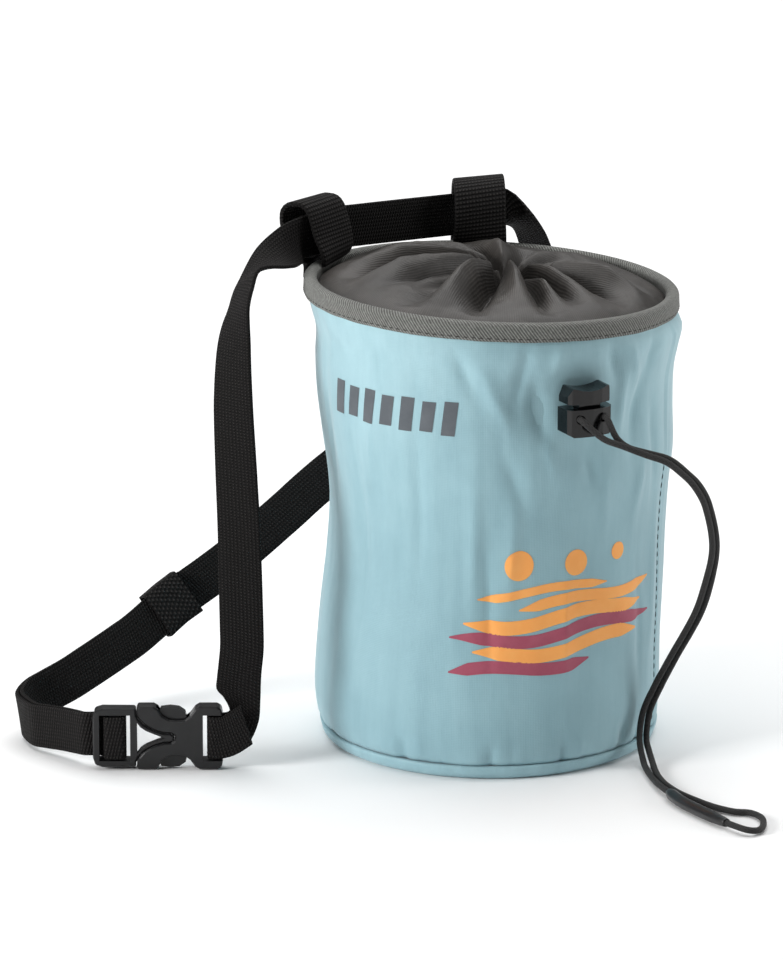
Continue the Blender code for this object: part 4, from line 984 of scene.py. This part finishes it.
# Creases of the wall: bearing, height as a share, slant, half width in degrees, reach, depth in mm
WALL_CREASES = (
    # bearing, height, slant, width, reach, depth
    (-134, 0.90, -60, 2.4, 0.06, -1.0),
    (-124, 0.84, -70, 2.6, 0.07, 1.1),
    (-116, 0.89, 30, 2.2, 0.08, -1.2),
    (-110, 0.80, -24, 2.6, 0.09, -1.6),
    (-104, 0.93, 40, 2.0, 0.04, 0.9),
    (-107, 0.72, -60, 2.8, 0.06, 1.0),
    (-118, 0.66, -50, 3.0, 0.07, -1.0),
    (-84, 0.90, -50, 2.4, 0.06, -1.3),
    (-80, 0.80, 22, 2.2, 0.08, 1.2),
    (-75, 0.88, -40, 2.2, 0.07, 1.1),
    (-72, 0.78, 30, 2.2, 0.08, -1.2),
    (-66, 0.90, 30, 2.4, 0.06, -1.1),
    (-62, 0.70, -14, 2.2, 0.12, -1.0),
    (-70, 0.62, 20, 2.6, 0.08, 0.8),
    (-92, 0.67, -30, 2.6, 0.05, -1.1),
    (-86, 0.60, 10, 3.0, 0.10, 0.7),
    (-118, 0.52, 10, 3.0, 0.12, 0.8),
    (-131, 0.52, 4, 2.6, 0.18, 0.8),
    (-126, 0.40, -4, 2.0, 0.16, -0.7),
    (-58, 0.40, 6, 2.4, 0.18, 0.8),
    (-67, 0.28, -8, 2.2, 0.12, -0.8),
    (-100, 0.33, 3, 2.4, 0.14, 0.6),
    (-154, 0.05, 12, 1.8, 0.035, -1.1),
    (-148, 0.06, -10, 1.6, 0.03, 0.6),
    (-101, 0.05, -14, 1.8, 0.035, -1.2),
    (-95, 0.06, 8, 1.6, 0.03, 0.6),
    (-76, 0.06, 10, 1.8, 0.035, -1.1),
    (-66, 0.05, -8, 1.6, 0.03, -0.8),
    (-125, 0.05, 6, 1.6, 0.03, -0.8),
    (-150, 0.60, 3, 2.8, 0.2, -0.7),
    (-168, 0.72, 20, 3.0, 0.10, 0.8),
    (-176, 0.50, -6, 3.0, 0.16, -0.8),
    (-48, 0.62, 5, 2.4, 0.2, -0.7),
    (20, 0.5, 6, 3.0, 0.2, -0.9),
    (60, 0.35, -6, 3.0, 0.2, 0.8),
    (100, 0.6, 5, 3.0, 0.2, -0.9),
    (140, 0.4, -5, 2.6, 0.2, 0.7),
    (165, 0.7, 4, 2.6, 0.15, -0.7),
)


def wrinkle(bearing, height):
    """The side wall's small creases and puckers, in metres outwards."""
    low = (height - BASE_EDGE_HEIGHT) / BAG_HEIGHT
    out = 0.0
    spot = Vector((math.cos(math.radians(bearing)), math.sin(math.radians(bearing)), 0))
    pucker = math.exp(-(low / 0.035) ** 2)
    out += 0.7 * MM * pucker * noise.noise(Vector((spot.x * 7, spot.y * 7, low * 10)))
    out -= 0.8 * MM * pucker * max(0, noise.noise(Vector((spot.x * 16 + 9, spot.y * 16, low * 6))))
    out += 0.35 * MM * noise.noise(Vector((spot.x * 3.1 + 4, spot.y * 3.1, low * 1.6)))
    out += 0.30 * MM * noise.noise(Vector((spot.x * 9 + 2, spot.y * 9, low * 2.2)))
    for middle, level, slant, width, reach, depth in WALL_CREASES:
        offset = between(bearing, middle) - slant * (height / BAG_HEIGHT - level)
        fall = bell(height / BAG_HEIGHT - level, reach)
        out += 1.4 * depth * MM * fall * math.exp(-(abs(offset / width) ** 1.5))
    beside = between(bearing, LOCK_TOWARDS - 6) / 11
    level = (height - LOCK_FOOT - LOCK_BODY_HEIGHT) / (13 * MM)
    out -= 1.1 * MM * math.exp(-(beside**2) - level**2)
    seam = between(bearing, SEAM_TOWARDS)
    out += 0.45 * MM * math.exp(-((seam / 1.1) ** 2))
    out -= 0.35 * MM * math.exp(-(((seam + 2.2) / 0.8) ** 2))
    return out


def wall_surface(bearing, height):
    """The outer face of the wall, with its creases, as a radius."""
    calm = min(1, max(0, (rim_height(bearing) - BINDING_HEIGHT - height) / (5 * MM)))
    return wall_radius(bearing, height) + calm * wrinkle(bearing, height)


# How finely each piece is built: points round the bag, and levels or steps across
WALL_AROUND, WALL_LEVELS = 288, 84
BINDING_AROUND = 360
COLLAR_AROUND, COLLAR_STEPS = 640, 80
RIM_STITCHES = 150


def make_shell(material, seam_dark):
    around, levels = WALL_AROUND, WALL_LEVELS
    grid = []
    for k in range(around):
        bearing = 360 * k / around
        foot = BASE_EDGE_HEIGHT + CLEAR
        top = rim_height(bearing) - BINDING_TAPE - CLEAR
        heights = [foot + (top - foot) * (i / (levels - 1)) ** 1.1 for i in range(levels)]
        column = []
        for i, height in enumerate(heights):
            roll = 0.9 * MM * math.exp(-((height - foot) / (1.1 * MM)) ** 2)
            column.append(polar(wall_surface(bearing, height) - roll, bearing, height))
        for height in heights[::-4] + [heights[0]]:
            column.append(polar(wall_radius(bearing, height) - WALL, bearing, height))
        grid.append(column)

    def coords(i, k):
        point = grid[i % around][k % len(grid[0])]
        return (i / around * math.tau * RIM_RADIUS, point.z)

    shell = grid_object("bag_side_wall", grid, coords, material, close_u=True, close_v=True)
    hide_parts("shell")
    verts, faces = [], []
    beside = SEAM_TOWARDS - SEAM_STITCH_AWAY
    for k in range(SEAM_STITCHES):
        points = []
        for i in range(4):
            height = (8 + SEAM_STITCH_STEP * k + SEAM_STITCH * i / 3) * MM
            bulge = (0.16 * math.sin(math.pi * i / 3) - 0.04) * MM
            points.append(polar(wall_surface(beside, height) + bulge, beside, height))
        add_tube(verts, faces, points, 0.15 * MM, 5)
    stitches = mesh_object("seam_stitches", verts, faces, seam_dark)


def make_base(material):
    around = WALL_AROUND
    grid = []
    for k in range(around):
        bearing = 360 * k / around
        edge = wall_radius(bearing, BASE_EDGE_HEIGHT + CLEAR)
        flat = edge - BASE_CORNER
        wave = 0.35 * MM * ripple(bearing, 8, 3)
        column = [polar(share * flat, bearing, 0) for share in (0.02, 0.5, 1)]
        for turn in range(10, 91, 10):
            angle = math.radians(turn)
            out = flat + (BASE_CORNER + wave) * math.sin(angle)
            column.append(polar(out, bearing, BASE_EDGE_HEIGHT * (1 - math.cos(angle))))
        column.append(polar(flat + BASE_CORNER - BASE_WALL, bearing, BASE_EDGE_HEIGHT))
        column.append(polar(flat, bearing, BASE_WALL))
        column.append(polar(0.02 * flat, bearing, BASE_WALL))
        grid.append(column)

    def coords(i, k):
        point = grid[i % around][k % len(grid[0])]
        return (point.x, point.y)

    base = grid_object("bag_base", grid, coords, material, close_u=True, close_v=True)
    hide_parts("base_panel")


def make_binding(material, thread):
    around = BINDING_AROUND
    grid = []
    turns = [math.radians(turn) for turn in range(0, 181, 20)]
    profile = [(math.cos(turn), math.sin(turn)) for turn in turns]
    for k in range(around):
        bearing = 360 * k / around
        top = rim_height(bearing)
        wall = wall_radius(bearing, top)
        middle = wall - WALL / 2
        half = WALL / 2 + CLEAR + BINDING_TAPE
        low = top - BINDING_HEIGHT + 0.18 * MM * ripple(bearing, 9, 1)
        column = [
            (middle + half - 0.25 * MM, low),
            (middle + half, low + 0.7 * MM),
            (middle + half + 0.1 * MM, low + 2 * MM),
        ]
        column += [(middle + half * c, top - 1.6 * MM + 1.6 * MM * s) for c, s in profile]
        column += [(middle - half, low + 1 * MM), (middle - half, low)]
        inner = half - BINDING_TAPE * 0.9
        column += [(middle - inner, low), (middle - inner, top - BINDING_TAPE)]
        column += [(middle + inner, top - BINDING_TAPE), (middle + inner, low)]
        grid.append([polar(radius, bearing, height) for radius, height in column])
    lengths = lengths_along(grid[0] + grid[0][:1])

    def coords(i, k):
        return (i / around * math.tau * RIM_RADIUS, lengths[k])

    tape = grid_object("rim_tape", grid, coords, material, close_u=True, close_v=True, sharp=60)
    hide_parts("rim_binding")
    make_stitches(thread)


def make_stitches(material):
    """Stitches along the binding's lower edge."""
    verts, faces = [], []
    for k in range(RIM_STITCHES):
        start, end = 360 * (k + 0.12) / RIM_STITCHES, 360 * (k + 0.80) / RIM_STITCHES
        points = []
        for i in range(4):
            bearing = start + (end - start) * i / 3
            top = rim_height(bearing)
            bulge = 0.16 * MM * math.sin(math.pi * i / 3)
            radius = wall_radius(bearing, top) + CLEAR + BINDING_TAPE + bulge - 0.05 * MM
            points.append(polar(radius, bearing, top - BINDING_HEIGHT + 1.15 * MM))
        add_tube(verts, faces, points, 0.17 * MM, 5)
    stitches = mesh_object("binding_stitches", verts, faces, material)


def add_tube(verts, faces, points, radius, sides):
    """A closed small tube through the points, with its ends drawn in."""
    first = len(verts)
    for i, point in enumerate(points):
        along = heading(points, i)
        across = along.cross(Vector((0.13, 0.21, 1))).normalized()
        over = across.cross(along)
        size = radius * (0.55 if i in (0, len(points) - 1) else 1)
        verts += [point + way * size for way in spokes(across, over, sides)]
    for i in range(len(points) - 1):
        for k in range(sides):
            a = first + i * sides + k
            b = first + i * sides + (k + 1) % sides
            faces.append((a, b, b + sides, a + sides))
    faces.append(tuple(first + k for k in range(sides))[::-1])
    faces.append(tuple(first + (len(points) - 1) * sides + k for k in range(sides)))


def make_collar(material):
    around, steps = COLLAR_AROUND, COLLAR_STEPS
    last = COLLAR_PROFILE[-1][0]
    grid = []
    for k in range(around):
        bearing = 360 * k / around
        upper = []
        for i in range(steps):
            share = last * i / (steps - 1)
            upper.append(collar_surface(bearing, share))
        lower = [point - Vector((0, 0, COLLAR_WALL)) for point in upper[::-3]]
        grid.append(upper + lower)

    def coords(i, k):
        return (i / around, k / steps)

    collar = grid_object("gathered_collar", grid, coords, material, close_u=True, close_v=True)
    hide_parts("collar")


# Folds of the gathered nylon beyond the solid's ridges: bearing in the lying frame, how far it
# turns on the way in, half width in degrees, height in mm, and the shares of the way in where it
# starts and ends
COLLAR_PLEATS = (
    # bearing, turn, half_width, height, start, end
    (226, 4, 4.0, -4.1, 0.30, 0.97),
    (236, 4, 4.5, -7.0, 0.06, 0.95),
    (248, 2, 5.5, 5.2, 0.12, 0.90),
    (262, -3, 4.2, -7.3, 0.08, 0.96),
    (269, 0, 2.6, 1.2, 0.40, 0.95),
    (278, 1, 4.6, 4.5, 0.18, 0.95),
    (289, 0, 3.6, -7.6, 0.08, 0.97),
    (298, -4, 4.6, 5.8, 0.15, 0.88),
    (307, -6, 3.8, -6.8, 0.18, 0.95),
    (318, -4, 5.0, 2.0, 0.30, 0.88),
    (327, 12, 3.4, -4.6, 0.10, 0.92),
    (341, 14, 4.2, 4.5, 0.06, 0.80),
    (350, 12, 3.0, -4.3, 0.06, 0.85),
    (8, 6, 4.0, -2.7, 0.30, 0.92),
    (28, 0, 9.0, 4.5, 0.45, 0.92),
    (45, 0, 3.4, -4.6, 0.45, 0.97),
    (60, 0, 6.0, 2.8, 0.35, 0.92),
    (74, 0, 4.0, -4.9, 0.35, 0.97),
    (90, 0, 6.0, 3.0, 0.40, 0.92),
    (106, 0, 4.0, -5.1, 0.35, 0.97),
    (122, 0, 5.5, 2.8, 0.35, 0.92),
    (136, 0, 3.6, -4.9, 0.25, 0.97),
    (152, 0, 5.5, 4.0, 0.20, 0.90),
    (166, -2, 3.6, -5.7, 0.15, 0.97),
    (180, -4, 5.0, 3.5, 0.15, 0.90),
    (192, -6, 3.4, -5.1, 0.10, 0.97),
    (204, -4, 5.0, 3.8, 0.12, 0.90),
    (216, 0, 3.2, -3.8, 0.15, 0.97),
)


def collar_surface(bearing, share):
    """The collar's upper side with its small folds."""
    point = collar_point(bearing, share)
    turned = bearing - LIE_TURN
    lift = 0.0
    for middle, turn, half, height, start, end in COLLAR_PLEATS:
        if not start - 0.02 < share:
            continue
        fall = min(1, max(0, (share - start) / 0.30)) * min(1, max(0, (end + 0.06 - share) / 0.10))
        wide = half * (1.25 if share < 0.5 else 1.25 + 2.2 * (share - 0.5))
        offset = abs(between(turned, middle + turn * share)) / wide
        lift += height * MM * fall * math.exp(-(offset**1.6))
    spot = Vector((point.x, point.y, 0))
    grow = min(1, share / 0.12) * min(1, (1.04 - share) / 0.1)
    lift += 0.55 * MM * noise.noise(spot * 85)
    lift += 0.25 * MM * noise.noise(spot * 210 + Vector((3, 1, 0)))
    point.z += lift * grow
    return point


def ribbon_object(name, edges, thickness, material, node):
    """A strap with slightly rounded edges from its rows of two edge points."""
    fine = []
    for i in range(len(edges) - 1):
        (a, b), (c, d) = edges[i], edges[i + 1]
        count = max(1, round(((a + b) / 2 - (c + d) / 2).length / (1.5 * MM)))
        before, after = edges[max(i - 1, 0)], edges[min(i + 2, len(edges) - 1)]
        ends = [(before[j], edges[i][j], edges[i + 1][j], after[j]) for j in (0, 1)]
        for k in range(count):
            fine.append(tuple(spline(*side, k / count) for side in ends))
    fine.append(edges[-1])
    middles = [(a + b) / 2 for a, b in fine]
    lengths = lengths_along(middles)
    half_shape = ((1, 0.35), (0.985, 0.8), (0.94, 1), (0.5, 1), (0, 1))
    shape = half_shape + tuple((-w, d) for w, d in half_shape[-2::-1])
    shape = shape + tuple((-w, -d) for w, d in shape)
    grid = []
    for i, (a, b) in enumerate(fine):
        low, high = middles[max(i - 1, 0)], middles[min(i + 1, len(middles) - 1)]
        normal = (high - low).cross(a - b).normalized() * (thickness / 2)
        half = (a - b) / 2
        grid.append([middles[i] + half * w + normal * d for w, d in shape])
    width = (edges[0][0] - edges[0][1]).length

    def coords(i, k):
        w, d = shape[k % len(shape)]
        return (lengths[i], w * width / 2 + (0.004 if d > 0 else 0.05))

    strap = grid_object(name, grid, coords, material, close_v=True, caps=True, sharp=50)
    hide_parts(node)
    return strap


def loop_edges(bearing, side):
    origin, along, outwards, turn = loop_frame(bearing, side)
    foot = WALL / 2 + CLEAR + BINDING_TAPE + CLEAR + LOOP_THICKNESS / 2
    _, headroom, inner, outer, lean = (value * MM for value in LOOP_SHAPES[side])
    height = WEBBING_WIDTH + headroom + LOOP_THICKNESS / 2
    points, turns = [], []
    for hand, bulge, level, turned in LOOP_ROWS:
        side_bulge = inner if hand < 0 else outer
        reach = hand * (foot + bulge * (side_bulge if bulge > 0 else foot))
        reach += lean * math.sin(math.pi / 2 * max(level - 0.12, 0) / 0.88)
        points.append(Vector((reach, level * height, 0)))
        turns.append(turn * turned)
    points.append(Vector((foot, -LOOP_OVERHANG, 0)))
    turns.append(0.0)
    edges = []
    for place, point in smooth_path(points, 5 * MM):
        low = min(int(place), len(turns) - 2)
        turned = turns[low] + (turns[low + 1] - turns[low]) * (place - low)
        across = Matrix.Rotation(math.radians(turned), 3, "Z") @ along
        spot = origin + outwards * point.x + Vector((0, 0, point.y))
        edges.append((spot + across * LOOP_WIDTH / 2, spot - across * LOOP_WIDTH / 2))
    return edges


def make_keeper(places, material):
    play = CLEAR + TAIL_DROP / 2
    half_width = WEBBING_WIDTH / 2 + play + 0.1 * MM
    half_depth = WEBBING_THICKNESS + LAYER_GAP / 2 + 2 * CLEAR
    corner = [(0.985, -0.85), (0.94, -1), (0.5, -1.03)]
    shape = [(1, 0.5), (1, -0.5)] + corner + [(0, -1.04)] + [(-w, d) for w, d in corner[::-1]]
    shape += [(-w, -d) for w, d in shape]
    steps = 12
    grid = []
    for w, d in shape:
        outer, inner = [], []
        for i in range(steps):
            share = 2 * i / (steps - 1) - 1
            spot, across, normal = strap_at(places, share * KEEPER_LENGTH / 2)
            centre = spot + normal * (WEBBING_THICKNESS + LAYER_GAP) / 2 - across * TAIL_DROP / 2
            draw = 1 - 0.012 * (1 - share**2)
            wide, deep = (half_width + KEEPER_WALL) * draw, half_depth + KEEPER_WALL
            outer.append(lie(*(centre + across * wide * w + normal * deep * d)))
            inner.append(lie(*(centre + across * half_width * w + normal * half_depth * d)))
        grid.append(outer + inner[::-1])

    def coords(i, k):
        w, d = shape[i % len(shape)]
        turn = i / len(shape) * 0.036
        share = k if k < steps else 2 * steps - 1 - k
        return (turn, share / (steps - 1) * KEEPER_LENGTH)

    keeper = grid_object(
        "keeper_band", grid, coords, material, close_u=True, close_v=True, sharp=50
    )
    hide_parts("strap_keeper")


def make_cord(material):
    """The pull cord as a tube with its own map."""
    points = refine([point for _, point in cord_points()], 5)
    sides = 14
    lengths = lengths_along(points)
    grid = []
    over = Vector((0, 0, 1))
    for i, point in enumerate(points):
        along = heading(points, i)
        over = (over - along * over.dot(along)).normalized()
        across = along.cross(over)
        grid.append([point + way * CORD_DIAMETER / 2 for way in spokes(across, over, sides)])

    def coords(i, k):
        return (lengths[i], k / sides * math.pi * CORD_DIAMETER)

    cord = grid_object("drawcord", grid, coords, material, close_v=True, caps=True)
    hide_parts("pull_cord")
    return cord, points, lengths[-1]


def make_sleeve(material):
    """Shrink tube: its skin bulges and necks in at its ends."""
    covered = [point for place, point in cord_points() if SLEEVE_FROM <= place <= SLEEVE_TO]
    points = refine(covered, 6)
    sides = 20
    inner = CORD_DIAMETER / 2 + 0.12 * MM
    grid = [[] for _ in range(sides)]
    for i, point in enumerate(points):
        share = i / (len(points) - 1)
        along = heading(points, i)
        across = along.cross(Vector((0, 0, 1))).normalized()
        over = across.cross(along)
        ends = min(1, share / 0.12, (1 - share) / 0.3)
        outer = inner + (0.22 + 0.62 * math.sin(math.pi / 2 * ends)) * MM
        for k, way in enumerate(spokes(across, over, sides)):
            grid[k].append((point + way * outer, point + way * inner))
    rows = [[pair[0] for pair in column] + [pair[1] for pair in column[::-1]] for column in grid]

    def coords(i, k):
        return (i / sides, k / len(rows[0]))

    sleeve = grid_object("cord_shrink", rows, coords, material, close_u=True, close_v=True)
    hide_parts("cord_sleeve")
    return sleeve


def decal(name, outline, material, lift=0.12 * MM):
    """A printed patch on the wall. The outline is in degrees and metres of height."""
    builder = bmesh.new()
    face = builder.faces.new([builder.verts.new((x, z, 0)) for x, z in outline])
    bmesh.ops.triangulate(builder, faces=[face])
    scaled = 360 / (math.tau * RIM_RADIUS)
    for vert in builder.verts:
        vert.co.x /= scaled
    for _ in range(5):
        long = [edge for edge in builder.edges if edge.calc_length() > 2.2 * MM]
        if not long:
            break
        bmesh.ops.subdivide_edges(builder, edges=long, cuts=1, use_grid_fill=True)
        bmesh.ops.triangulate(builder, faces=builder.faces[:])
    verts = []
    for vert in builder.verts:
        bearing, height = vert.co.x * scaled, vert.co.y
        verts.append(polar(wall_surface(bearing, height) + lift, bearing, height))
    index = {vert: i for i, vert in enumerate(builder.verts)}
    faces = [tuple(index[vert] for vert in item.verts) for item in builder.faces]
    builder.free()
    patch = mesh_object(name, verts, faces, material)
    return patch


# The printed panel on the wall: its corners as bearings and heights
PANEL_LEFT = -139.0
PANEL_RIGHT = -62.0
PANEL_LOW = 36 * MM
PANEL_HIGH = 80 * MM
# Waves from the bottom up, as shares of the panel: height of the middle, thickness, swing,
# phase, start, end, and whether it is the darker colour
WAVES = (
    # base, thick, swing, phase, start, end, dark
    (0.05, 0.10, 0.030, 0.00, 0.00, 0.62, True),
    (0.17, 0.11, 0.035, 0.10, 0.10, 0.90, False),
    (0.29, 0.10, 0.035, 0.20, 0.00, 1.00, True),
    (0.41, 0.11, 0.035, 0.30, 0.06, 0.94, False),
    (0.53, 0.09, 0.030, 0.40, 0.30, 1.00, False),
    (0.64, 0.07, 0.025, 0.50, 0.12, 0.72, False),
)
# Dots over the waves: the middle along and up the panel, and the radius in mm
DOTS = (
    # along, up, radius
    (0.30, 0.87, 5.4),
    (0.56, 0.83, 4.6),
    (0.78, 0.84, 3.1),
)


# Bars near the rim: first bearing, step and width in degrees, height in mm
BAR_START = -186.0
BAR_STEP = 7.4
BAR_WIDE = 4.6
BAR_TALL = 12.0


def make_print(orange, maroon, grey):
    """A plain printed panel of waves and dots, and a row of slanted bars near the rim."""
    wide, tall = PANEL_RIGHT - PANEL_LEFT, PANEL_HIGH - PANEL_LOW
    for number, (base, thick, swing, phase, start, end, dark) in enumerate(WAVES):
        upper, lower = [], []
        steps = 30
        for i in range(steps + 1):
            share = i / steps
            place = start + (end - start) * share
            middle = base + swing * math.sin(math.tau * (place * 1.6 + phase)) + 0.10 * place
            half = thick / 2 * min(1, 7 * share + 0.12, 7 * (1 - share) + 0.12)
            upper.append((PANEL_LEFT + place * wide, PANEL_LOW + (middle + half) * tall))
            lower.append((PANEL_LEFT + place * wide, PANEL_LOW + (middle - half) * tall))
        decal("print_wave_%d" % number, upper + lower[::-1], maroon if dark else orange)
    for number, (along, up, radius) in enumerate(DOTS):
        middle = (PANEL_LEFT + along * wide, PANEL_LOW + (up + 0.10 * along) * tall)
        outline = []
        for k in range(32):
            angle = math.tau * k / 32
            turned = math.degrees(radius * MM * math.cos(angle) / RIM_RADIUS)
            outline.append((middle[0] + turned, middle[1] + radius * MM * math.sin(angle)))
        decal("print_dot_%d" % number, outline, orange)
    for number in range(7):
        start = BAR_START + number * BAR_STEP
        middle = 0.800 * BAG_HEIGHT - 0.10 * MM * number
        tall = (BAR_TALL - 1.4 * (number % 2)) * MM
        outline = (
            (start, middle - tall / 2),
            (start + BAR_WIDE, middle - tall / 2),
            (start + BAR_WIDE + 1.4, middle + tall / 2),
            (start + 1.4, middle + tall / 2),
        )
        decal("print_bar_%d" % number, outline, grey)


# How far the edges of the moulded pieces are rounded, and from which angle on
BUCKLE_EDGE = 0.45 * MM
LOCK_EDGE = 0.6 * MM
EDGE_ANGLE = 35


def dress_node(name, material, bevel):
    """A CAD piece kept as it is, with its material and rounded edges."""
    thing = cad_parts[name]
    for slot in thing.material_slots:
        slot.material = material
    if not thing.material_slots:
        thing.data.materials.append(material)
    modifier = thing.modifiers.new("edges", "BEVEL")
    modifier.width = bevel
    modifier.segments = 3
    modifier.limit_method = "ANGLE"
    modifier.angle_limit = math.radians(EDGE_ANGLE)
    modifier.harden_normals = False
    return thing


WORLD_LIGHT = 0.12
# Lamps in the lying frame: name, place, size and power in watts
LAMPS = (
    ("top", (0.0, 0.9, 2.4), 3.2, 84),
    ("key", (-1.55, -0.8, 0.7), 0.6, 27),
    ("rim", (1.35, 0.1, 0.5), 0.5, 6),
)


def make_room():
    """A pale floor, soft lights and a bright surround."""
    builder = bmesh.new()
    bmesh.ops.create_grid(builder, x_segments=2, y_segments=2, size=6)
    mesh = bpy.data.meshes.new("floor")
    builder.to_mesh(mesh)
    builder.free()
    paint = Material("floor_paper", (0.93, 0.93, 0.93, 1), 0.9)
    mesh.materials.append(paint.material)
    floor = bpy.data.objects.new("floor", mesh)
    bpy.context.scene.collection.objects.link(floor)
    world = bpy.data.worlds.new("surround")
    world.use_nodes = True
    background = world.node_tree.nodes["Background"]
    background.inputs[0].default_value = (1, 1, 1, 1)
    background.inputs[1].default_value = WORLD_LIGHT
    bpy.context.scene.world = world
    for name, place, size, power in LAMPS:
        data = bpy.data.lights.new(name, "AREA")
        data.size = size
        data.energy = power
        lamp = bpy.data.objects.new(name, data)
        lamp.location = lie(*place)
        lamp.rotation_euler = (lie(0, 0, 0.08) - lie(*place)).to_track_quat("-Z", "Y").to_euler()
        bpy.context.scene.collection.objects.link(lamp)
    scene = bpy.context.scene
    scene.view_settings.view_transform = "Standard"


def main():
    make_camera()
    cord, points, length = make_cord(braid_material())
    sleeve = make_sleeve(plastic_material("shrink_tube", SLEEVE_COLOUR, 0.34, 0.3, 0.3))
    tuple(points[0])
    [tuple(point) for point in points]
    cloth = shell_material()
    dark = thread_material()
    make_shell(cloth, dark)
    make_base(cloth)
    make_binding(tape_material(), dark)
    make_collar(collar_material())
    web = webbing_material()
    heavy = webbing_material("loop_weave", 0.00140, 1.2, 0.08)
    edges = loop_edges(LOOP_MIDDLE + LOOP_SPREAD, 1)
    ribbon_object("loop_left_strap", edges, LOOP_THICKNESS, heavy, "belt_loop_left")
    edges = loop_edges(LOOP_MIDDLE - LOOP_SPREAD, -1)
    ribbon_object("loop_right_strap", edges, LOOP_THICKNESS, heavy, "belt_loop_right")
    rows, places = belt_rows()
    turned = [(lie(*a), lie(*b)) for a, b in rows]
    ribbon_object("waist_belt", turned, WEBBING_THICKNESS, web, "belt_webbing")
    make_keeper(places, webbing_material("keeper_weave", 0.0009, 1.3, 1.0))
    buckle = plastic_material("buckle_grain", BUCKLE_COLOUR, 0.36, 0.5)
    gloss = plastic_material("lock_gloss", LOCK_COLOUR, 0.14, 0.2, 0.12)
    dress_node("buckle_male", buckle, BUCKLE_EDGE)
    dress_node("buckle_female", buckle, BUCKLE_EDGE)
    dress_node("lock_body", gloss, LOCK_EDGE)
    dress_node("lock_button", gloss, LOCK_EDGE)
    make_print(
        print_material("print_orange", PRINT_ORANGE),
        print_material("print_maroon", PRINT_MAROON),
        print_material("print_grey", PRINT_GREY),
    )
    make_room()


main()
